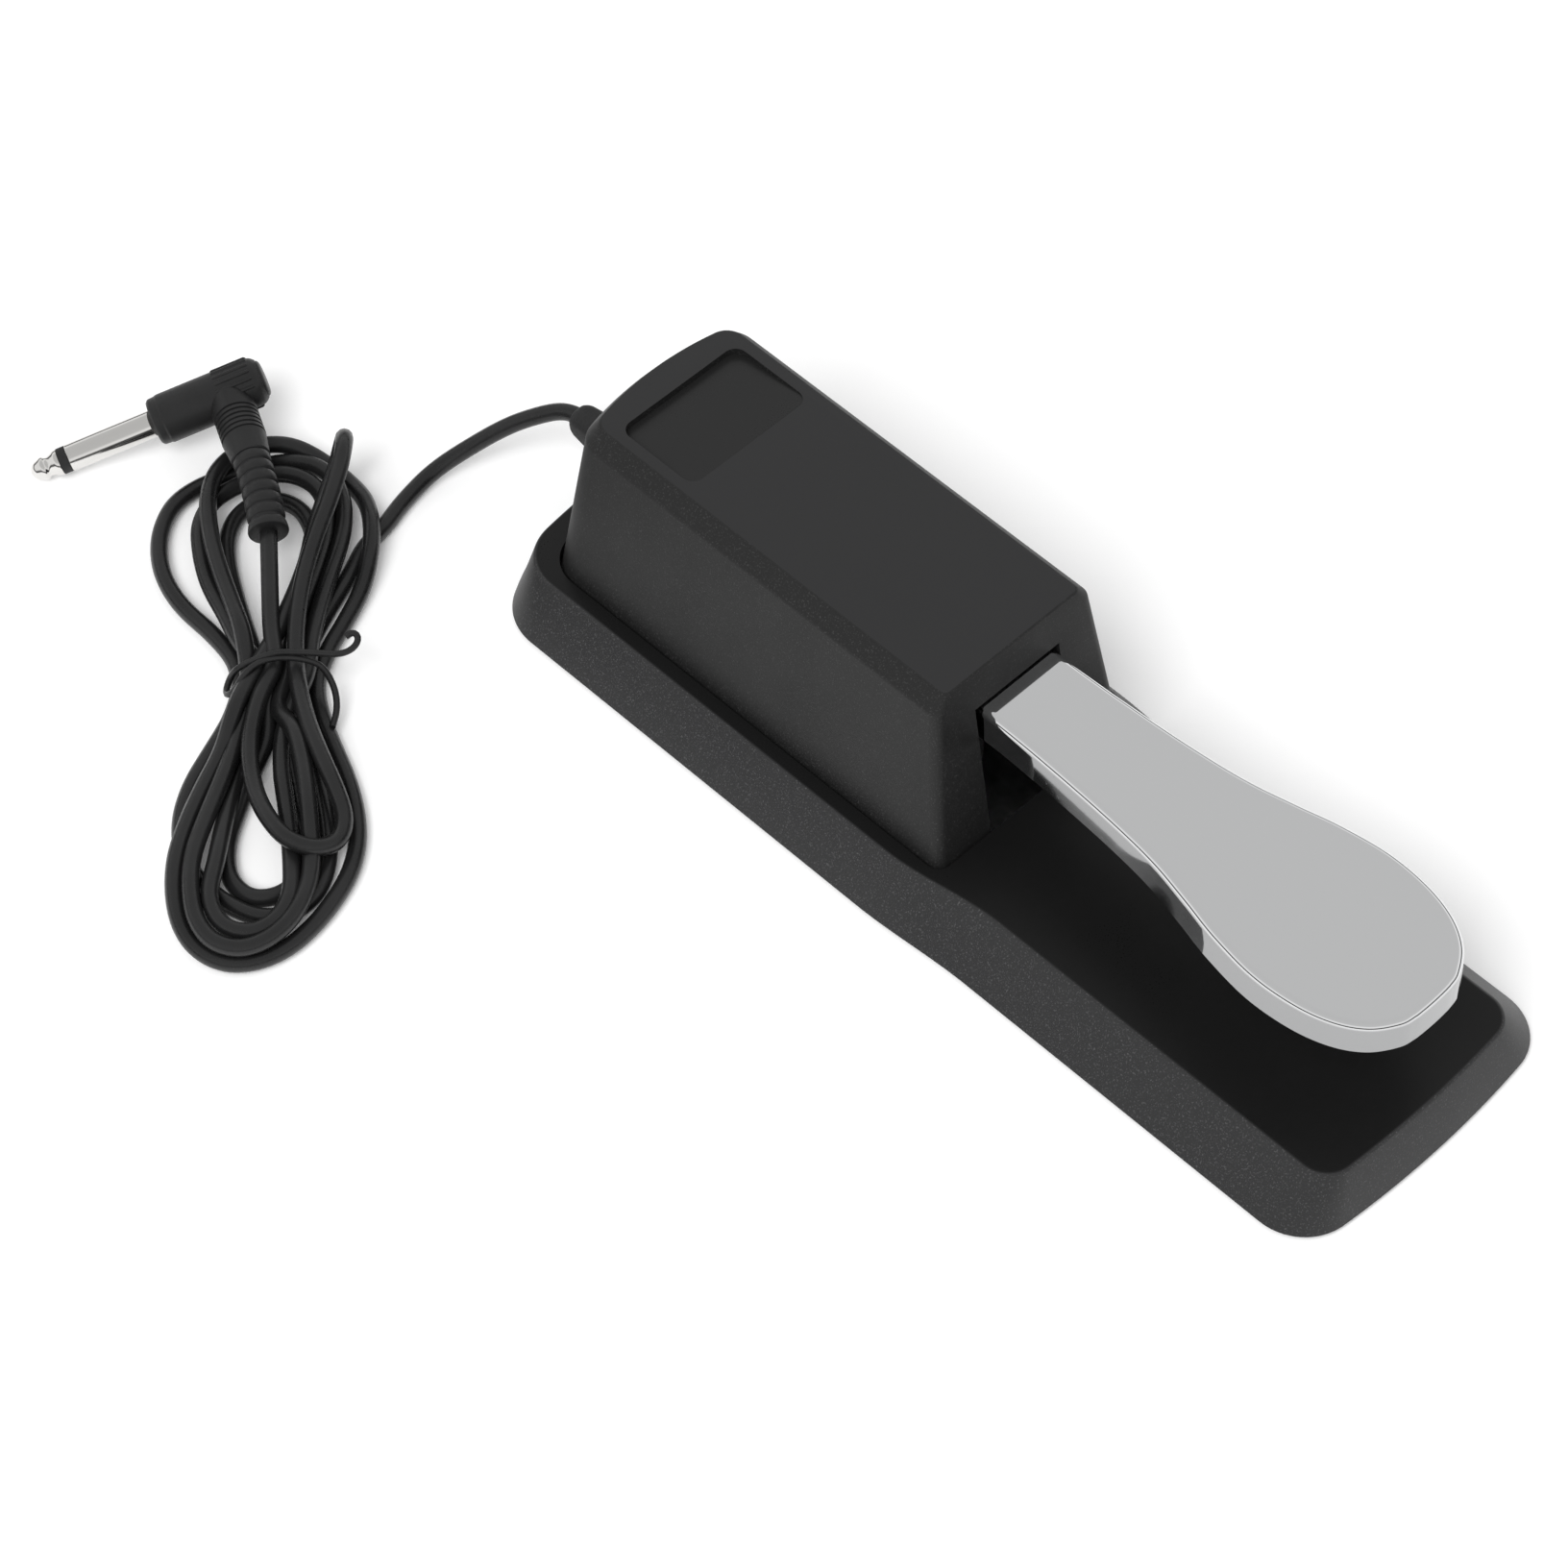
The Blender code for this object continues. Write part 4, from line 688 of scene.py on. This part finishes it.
def label_recess():
    """Cutter for the blank panel: deep at the rear, rising to the surface at its front."""
    half_y = (RECESS_Y[1] - RECESS_Y[0]) / 2.0
    outline = round_box(RECESS_HALF, half_y, RECESS_CORNER, 8, sum(RECESS_Y) / 2.0)
    floor = []
    for x, y in outline:
        t = (y - RECESS_Y[0]) / (RECESS_Y[1] - RECESS_Y[0])
        floor.append(Vector((x, y, TOP_Z - RECESS_DEPTH[0] - (RECESS_DEPTH[1] - RECESS_DEPTH[0]) * t)))
    return loft("label_recess", [floor, lift(outline, TOP_Z + 2.0 * MM)], HOUSING_PLASTIC)


def make_housing():
    """Hollow cover with a chamfered top, a pedal slot, a cord hole and a blank sunk panel."""
    foot = lift(housing_at(FOOT_Z, 0.0), FOOT_Z)
    chamfer = lift(housing_at(CHAMFER_Z, 0.0), CHAMFER_Z)
    crown = lift(housing_top(0.0), TOP_Z)
    low_edge = rounded_edge(blend(chamfer, foot, 0.012), chamfer, blend(chamfer, crown, 0.12), 4)
    high_edge = rounded_edge(blend(crown, chamfer, 0.12), crown, lift(housing_top(0.6 * MM), TOP_Z), 4)
    cover = loft("housing_look", [foot] + low_edge + high_edge, HOUSING_PLASTIC, 25.0)
    drop = TOP_Z - CEILING_Z
    hollow = [
        lift(housing_at(FOOT_Z - 2.0 * MM, HOUSING_WALL), FOOT_Z - 2.0 * MM),
        lift(housing_at(CHAMFER_Z - drop, HOUSING_WALL), CHAMFER_Z - drop),
        lift(housing_top(1.2 * MM), CEILING_Z),
    ]
    boolean(cover, loft("housing_hollow", hollow, HOUSING_PLASTIC), "DIFFERENCE")
    slot = block("slot", (-SLOT_HALF, -20.0 * MM, 0.0), (SLOT_HALF, 4.5 * MM, SLOT_TOP_Z), HOUSING_PLASTIC)
    boolean(cover, slot, "DIFFERENCE")
    low = (-CORD_HOLE_HALF, 104.0 * MM, CORD_Z - CORD_HOLE_HALF)
    high = (CORD_HOLE_HALF, 120.0 * MM, CORD_Z + CORD_HOLE_HALF)
    boolean(cover, block("cord_hole", low, high, HOUSING_PLASTIC), "DIFFERENCE")
    boolean(cover, label_recess(), "DIFFERENCE", 25.0)
    cover.data.materials.append(PANEL_PLASTIC)
    panel = cover.data.materials.find(PANEL_PLASTIC.name)
    for face in cover.data.polygons:
        in_panel = RECESS_Y[0] < face.center.y < RECESS_Y[1] and abs(face.center.x) < RECESS_HALF
        sunk = CEILING_Z + 0.5 * MM < face.center.z < TOP_Z - 0.05 * MM
        if in_panel and sunk and face.normal.z > 0.9:
            face.material_index = panel
    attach(cover, "base")
    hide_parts("housing_cover")


# ---------------------------------------------------------------- pedal

# EDGE is the easing of the skirt's lower edges, and LEAN how far the skirt leans in up to the roll.
PEDAL_TOP_Z = 46.8 * MM
PEDAL_REAR_Y = 30.0 * MM
SKIRT = 8.4 * MM
SHEET = 1.4 * MM
EDGE = 0.3 * MM
LEAN = 0.35 * MM
ROLL = 1.8 * MM
ROLL_STEPS = 14
# (y, half width) in millimetres, from the housing to the toe.
PEDAL_STATIONS = [
    (34.0, 12.1),
    (12.0, 12.1),
    (-10.0, 12.1),
    (-27.0, 12.8),
    (-42.0, 13.9),
    (-54.0, 15.4),
    (-65.0, 17.9),
    (-75.0, 20.4),
    (-87.0, 22.1),
    (-98.0, 21.4),
    (-106.5, 18.9),
    (-112.6, 14.8),
    (-116.4, 9.2),
    (-117.4, 5.0),
]


def pedal_outline():
    """Half-widths along the pedal, smoothed, mirrored and closed across the toe."""
    stations = [Vector((half, y, 0.0)) * MM for y, half in PEDAL_STATIONS]
    padded = [stations[0] * 2.0 - stations[1], *stations, stations[-1] + Vector((-5.0, -0.6, 0.0)) * MM]
    right = []
    for a, b, c, d in zip(padded, padded[1:], padded[2:], padded[3:]):
        for i in range(10):
            t = i / 10
            point = (b * 2.0 + (c - a) * t + (a * 2.0 - b * 5.0 + c * 4.0 - d) * t * t
                     + (b * 3.0 - c * 3.0 + d - a) * t ** 3) * 0.5
            right.append((point.x, min(point.y, PEDAL_REAR_Y)))
    start = max(i for i, (x, y) in enumerate(right) if y >= PEDAL_REAR_Y)
    right = right[start:] + [(stations[-1].x, stations[-1].y)]
    toe_y = stations[-1].y
    right += [(stations[-1].x * t, toe_y - 0.18 * MM * (1.0 - t * t)) for t in (0.75, 0.5, 0.25, 0.0)]
    return right + [(-x, y) for x, y in reversed(right[:-1])]


def inset_outline(outline, distance):
    """Moves a closed outline inward along the normals of its neighbouring points."""
    count = len(outline)
    moved = []
    for i, (x, y) in enumerate(outline):
        before, after = outline[i - 1], outline[(i + 1) % count]
        run = Vector((after[0] - before[0], after[1] - before[1])).normalized()
        if i in (0, count - 1):
            run = Vector((0.0, -1.0)) if i == 0 else Vector((0.0, 1.0))
        moved.append((x + run.y * distance, y - run.x * distance))
    return moved


def pedal_profile():
    """(inset, height) points from the lip up the leaning skirt and round the rolled edge."""
    points = [(0.0, PEDAL_TOP_Z - SKIRT + EDGE)]
    for i in range(1, 4):
        points.append((LEAN * i / 4, PEDAL_TOP_Z - SKIRT + (SKIRT - ROLL) * i / 4))
    for i in range(ROLL_STEPS + 1):
        angle = math.radians(90.0 * i / ROLL_STEPS)
        points.append((LEAN + ROLL * (1.0 - math.cos(angle)), PEDAL_TOP_Z - ROLL * (1.0 - math.sin(angle))))
    return points + [(LEAN + ROLL + 0.4 * MM, PEDAL_TOP_Z)]


def make_pedal():
    """Pressed sheet of even thickness: outer face, lip and inner face."""
    outline = pedal_outline()
    foot_z = PEDAL_TOP_Z - SKIRT
    outer = pedal_profile()
    inner = [(inset + SHEET, z - (SHEET if inset > LEAN else 0.0)) for inset, z in outer[:5]]
    inner += [(LEAN + ROLL + SHEET, PEDAL_TOP_Z - SHEET)]
    lip = [(EDGE, foot_z), (SHEET - EDGE, foot_z)]
    profile = outer[::-1] + lip + inner
    rings = [lift(inset_outline(outline, inset), z) for inset, z in profile]
    plate = loft("pedal_look", rings, CHROME, 40.0)
    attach(plate, "pedal")
    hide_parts("pedal_plate")


# ---------------------------------------------------------------- strain relief


def square_ring(half, corner, y):
    """A square section with round corners, across the cord's axis."""
    return [Vector((x, y, CORD_Z + z)) for x, z in round_box(half, half, corner, 6)]


def make_relief():
    """Square moulding: a flange inside the wall, a neck through it and a taper out to the cord."""
    inner_y, wall_in_y, wall_out_y = 106.4 * MM, 108.7 * MM, 113.3 * MM
    end = 130.3 * MM
    # (half width in millimetres, corner radius in millimetres, place along the cord in metres)
    stations = [
        (5.6, 1.2, inner_y),
        (5.6, 1.2, wall_in_y),
        (3.9, 1.2, wall_in_y),
        (3.9, 1.2, wall_out_y),
        (4.9, 1.4, wall_out_y),
        (5.3, 1.5, wall_out_y + 0.4 * MM),
        (5.3, 1.6, wall_out_y + 1.6 * MM),
        (4.9, 1.8, wall_out_y + 2.0 * MM),
        (4.5, 2.0, wall_out_y + 2.3 * MM),
        (4.1, 2.2, end - 9.0 * MM),
        (3.7, 2.4, end - 4.0 * MM),
        (3.5, 2.4, end - 2.0 * MM),
        (3.2, 2.35, end - 1.0 * MM),
        (2.8, 2.2, end - 0.3 * MM),
        (2.3, 2.0, end),
    ]
    rings = [square_ring(half * MM, corner * MM, y) for half, corner, y in stations]
    relief = loft("strain_relief_look", rings, RUBBER, 50.0)
    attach(relief, "base")
    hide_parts("strain_relief")
    return relief


# ---------------------------------------------------------------- plug

PLUG_TIP = Vector((-88.8, 216.2, 2.7)) * MM
PLUG_YAW = math.radians(153.0)
PLUG_DROP = math.radians(14.4)
JACK_LENGTH = 30.0 * MM
PLUG_RADIUS = 5.75 * MM
PLUG_BACK = 26.3 * MM
BRANCH_BACK = 18.0 * MM
BRANCH_OUT = 21.0 * MM
BRANCH_GROOVES, GROOVES_FROM, GROOVE_PITCH = 6, 7.9 * MM, 1.35 * MM
GRIP_RIBS, RIBS_FROM, RIBS_ROUND = 16, 130.0, 280.0
BOOT_END = Vector((-67.8, 158.4, 13.4)) * MM
BOOT_RINGS, BOOT_RINGED = 6, 0.86


def plug_matrix():
    """The plug's frame: origin at the jack's root, +X to its tip, +Y to the cord branch."""
    turn = Matrix.Rotation(PLUG_YAW, 4, "Z") @ Matrix.Rotation(PLUG_DROP, 4, "Y")
    root = PLUG_TIP - (turn @ Vector((JACK_LENGTH, 0.0, 0.0)))
    return Matrix.Translation(root) @ turn


def forward_axis(start):
    """Lays a turned piece's own Z axis along the plug's +X."""
    return plug_matrix() @ Matrix.Translation((start, 0.0, 0.0)) @ Matrix.Rotation(math.radians(90.0), 4, "Y")


def branch_axis():
    aside = Matrix.Translation((-BRANCH_BACK, 0.0, 0.0)) @ Matrix.Rotation(math.radians(-90.0), 4, "X")
    return plug_matrix() @ aside


def dress_plug(piece, node):
    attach(piece, "base")
    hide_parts(node)
    return piece


def make_plug_body():
    """Round moulding with a step, grip ribs along its rear half and a ribbed side branch."""
    barrel = [
        (PLUG_RADIUS - 0.9 * MM, 0.0),
        (PLUG_RADIUS - 0.3 * MM, 0.5 * MM),
        (PLUG_RADIUS - 0.2 * MM, 2.2 * MM),
        (PLUG_RADIUS, 2.6 * MM),
        (PLUG_RADIUS, PLUG_BACK - 2.2 * MM),
        (PLUG_RADIUS - 0.4 * MM, PLUG_BACK - 0.9 * MM),
        (PLUG_RADIUS - 1.2 * MM, PLUG_BACK),
    ]
    profile = eased([(r, PLUG_BACK - z) for r, z in barrel][::-1], 0.4 * MM)
    body = turned("plug_body_look", profile, PLUG_RUBBER, forward_axis(-PLUG_BACK), 96)
    for i in range(GRIP_RIBS):
        angle = math.radians(RIBS_FROM + RIBS_ROUND * i / (GRIP_RIBS - 1))
        out = PLUG_RADIUS - 0.08 * MM
        rib = [(0.2 * MM, 0.0), (0.42 * MM, 0.4 * MM), (0.42 * MM, 8.2 * MM), (0.2 * MM, 8.6 * MM)]
        place = forward_axis(-PLUG_BACK + 1.7 * MM)
        place = place @ Matrix.Translation((out * math.cos(angle), out * math.sin(angle), 0.0))
        boolean(body, turned("rib", rib, PLUG_RUBBER, place, 12), "UNION")
    branch = [(5.25 * MM, 0.0), (5.2 * MM, 7.4 * MM)]
    for i in range(BRANCH_GROOVES):
        start = GROOVES_FROM + i * GROOVE_PITCH
        branch += [
            (5.15 * MM, start),
            (4.75 * MM, start + 0.12 * MM),
            (4.75 * MM, start + 0.42 * MM),
            (5.1 * MM, start + 0.54 * MM),
        ]
    branch += [(4.9 * MM, 16.6 * MM), (4.5 * MM, BRANCH_OUT - 0.3 * MM), (4.2 * MM, BRANCH_OUT)]
    boolean(body, turned("branch", branch, PLUG_RUBBER, branch_axis(), 64), "UNION", 32.0)
    return dress_plug(body, "plug_body")


def make_plug_cap():
    profile = [(0.5, 0.0), (3.4, 0.1), (4.1, 0.4), (4.3, 0.9), (4.3, 1.5)]
    profile = eased([(radius * MM, z * MM) for radius, z in profile], 0.3 * MM)
    place = forward_axis(-PLUG_BACK - 0.9 * MM)
    return dress_plug(turned("plug_cap_look", profile, PLUG_RUBBER, place, 64), "plug_cap")


def make_jack():
    """Quarter-inch jack: plated sleeve, insulating ring and a tip with a waist."""
    radius = 3.175 * MM
    sleeve = [
        (radius - 0.1 * MM, 0.05 * MM),
        (radius, 0.2 * MM),
        (radius, 20.7 * MM),
        (radius - 0.25 * MM, 20.95 * MM),
    ]
    ring = [(radius - 0.12 * MM, 20.95 * MM), (radius - 0.12 * MM, 22.9 * MM)]
    tip = [
        (2.9, 22.9), (3.05, 23.1), (3.0, 23.8), (2.3, 25.3), (2.15, 25.8), (2.35, 26.2), (2.75, 26.6),
        (2.7, 27.2), (2.0, 28.9), (1.3, 29.6), (0.6, 29.95), (0.1, 30.0),
    ]
    tip = eased([(r * MM, z * MM) for r, z in tip], 0.4 * MM)
    place = forward_axis(0.0)
    return [
        dress_plug(turned("plug_sleeve_look", sleeve, NICKEL, place, 96), "plug_sleeve"),
        dress_plug(turned("plug_insulator_look", ring, RUBBER, place, 96), "plug_insulator"),
        dress_plug(turned("plug_tip_look", tip, NICKEL, place, 96), "plug_tip"),
    ]


def make_plug_boot():
    """Flexible boot: rings and grooves on a gently bent sleeve, with a flared end."""
    start = plug_matrix() @ Vector((-BRANCH_BACK, BRANCH_OUT - 0.1 * MM, 0.0))
    outward = (start - (plug_matrix() @ Vector((-BRANCH_BACK, 0.0, 0.0)))).normalized()
    length = (BOOT_END - start).length
    middle = start + outward * length * 0.5
    # (place along the boot from 0 to 1, radius in millimetres)
    profile = []
    for i in range(BOOT_RINGS):
        at = i / BOOT_RINGS * BOOT_RINGED
        profile += [(at, 3.75), (at + 0.012, 4.15), (at + 0.03, 4.3), (at + 0.095, 4.3)]
        profile += [(at + 0.113, 4.15), (at + 0.125, 3.75)]
    profile += [(0.87, 3.75), (0.885, 4.2), (0.91, 4.4), (0.975, 4.6), (0.992, 4.5), (1.0, 4.1), (1.0, 2.2)]
    rings = []
    for t, radius in profile:
        centre = start * (1.0 - t) ** 2 + middle * 2.0 * t * (1.0 - t) + BOOT_END * t ** 2
        run = ((middle - start) * (1.0 - t) + (BOOT_END - middle) * t).normalized()
        across = run.cross(Vector((0.0, 0.0, 1.0))).normalized()
        above = across.cross(run)
        rings.append([centre + across * x + above * y for x, y in circle(radius * MM, 48)])
    return dress_plug(loft("plug_boot_look", rings, PLUG_RUBBER, 40.0), "plug_boot")


# ---------------------------------------------------------------- tie


TIE_RADIUS = 0.75 * MM


def make_tie():
    """Plastic-covered wire over the waist and back, with a small loop at one side and a curled tail."""
    # Places in the hank, as in HANK_ROUTE.
    route = [
        (88.5, 11.8, 4.0), (84.0, 12.8, 4.6), (79.5, 12.3, 6.5), (76.6, 9.6, 10.6), (76.0, 5.0, 12.6),
        (75.9, 0.0, 12.9), (76.8, -4.0, 12.4), (79.0, -7.0, 11.2), (80.6, -9.0, 8.4), (80.2, -10.8, 6.0),
        (78.0, -11.2, 5.0), (76.2, -10.4, 6.4), (75.9, -8.6, 9.6), (75.6, -4.6, 12.2), (75.2, 0.0, 13.9),
        (75.3, 5.0, 13.9), (75.5, 9.4, 13.6), (75.8, 12.8, 13.4), (75.6, 15.4, 13.7), (74.6, 17.4, 14.4),
        (72.8, 18.2, 15.4), (71.4, 16.8, 15.6), (72.2, 15.4, 14.8),
    ]
    line = smooth_line([hank_point(*point) for point in route], 0.6 * MM, 3)
    tie = curve_tube("twist_tie_look", line, TIE_RADIUS, VINYL, 3)
    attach(tie, "base")
    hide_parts("twist_tie")
    return tie


# ---------------------------------------------------------------- light and floor

FLOOR_HALF = 4.0
FLOOR_GLOW = 0.10
KEY_PLACE = (-1.05, -0.30, 1.45)
KEY_SIZE = (0.9, 0.9)
KEY_WATTS = 24.0
# Soft box overhead, a bright band round it and a dark band at the horizon: (sine of height, level).
SKY_STOPS = [(0.0, 0.30), (0.10, 0.06), (0.22, 0.10), (0.30, 0.95), (0.52, 0.90), (0.64, 0.63), (1.0, 0.60)]


def make_floor():
    """White floor just under the feet, with a faint glow so that it stays white past the light."""
    shape = bmesh.new()
    half = FLOOR_HALF
    corners = [(-half, -half), (half, -half), (half, half), (-half, half)]
    shape.faces.new([shape.verts.new((x, y, -0.05 * MM)) for x, y in corners])
    paint = Paint("floor_look", (0.94, 0.94, 0.94), 0.7)
    paint.shader.inputs["Emission Color"].default_value = (1.0, 1.0, 1.0, 1.0)
    paint.shader.inputs["Emission Strength"].default_value = FLOOR_GLOW
    paint.roughness(paint.ramp(paint.noise(30.0), 0.3, 0.7, 0.65, 0.75))
    floor = add_mesh("floor", shape, paint.material)


def area_light(name, place, target, size, power):
    """A square light that no polished face mirrors."""
    data = bpy.data.lights.new(name, "AREA")
    data.shape = "RECTANGLE"
    data.size, data.size_y = size
    data.energy = power
    lamp = bpy.data.objects.new(name, data)
    bpy.context.scene.collection.objects.link(lamp)
    lamp.location = place
    aim = Vector(target) - Vector(place)
    lamp.rotation_euler = aim.to_track_quat("-Z", "Y").to_euler()
    lamp.visible_glossy = False


def make_light():
    """A round studio tent that is dark near the floor, and one soft key light."""
    world = bpy.data.worlds.new("studio")
    world.use_nodes = True
    tree = world.node_tree
    place = tree.nodes.new("ShaderNodeTexCoord")
    parts = tree.nodes.new("ShaderNodeSeparateXYZ")
    tree.links.new(place.outputs["Generated"], parts.inputs["Vector"])
    ramp = tree.nodes.new("ShaderNodeValToRGB")
    tree.links.new(parts.outputs["Z"], ramp.inputs["Fac"])
    stops = ramp.color_ramp.elements
    for height, level in SKY_STOPS[:-2]:
        stops.new(height)
    for stop, (height, level) in zip(stops, SKY_STOPS):
        stop.position = height
        stop.color = (level, level, level, 1.0)
    tree.links.new(ramp.outputs["Color"], tree.nodes["Background"].inputs["Color"])
    bpy.context.scene.world = world
    area_light("key", KEY_PLACE, (0.0, 0.0, 0.0), KEY_SIZE, KEY_WATTS)
    bpy.context.scene.view_settings.view_transform = "Standard"


# ---------------------------------------------------------------- assembly


cord = make_cord()
make_base()
make_housing()
make_pedal()
with_cord = [make_relief(), make_plug_body(), make_plug_cap(), *make_jack(), make_plug_boot(), make_tie()]
make_floor()
make_light()
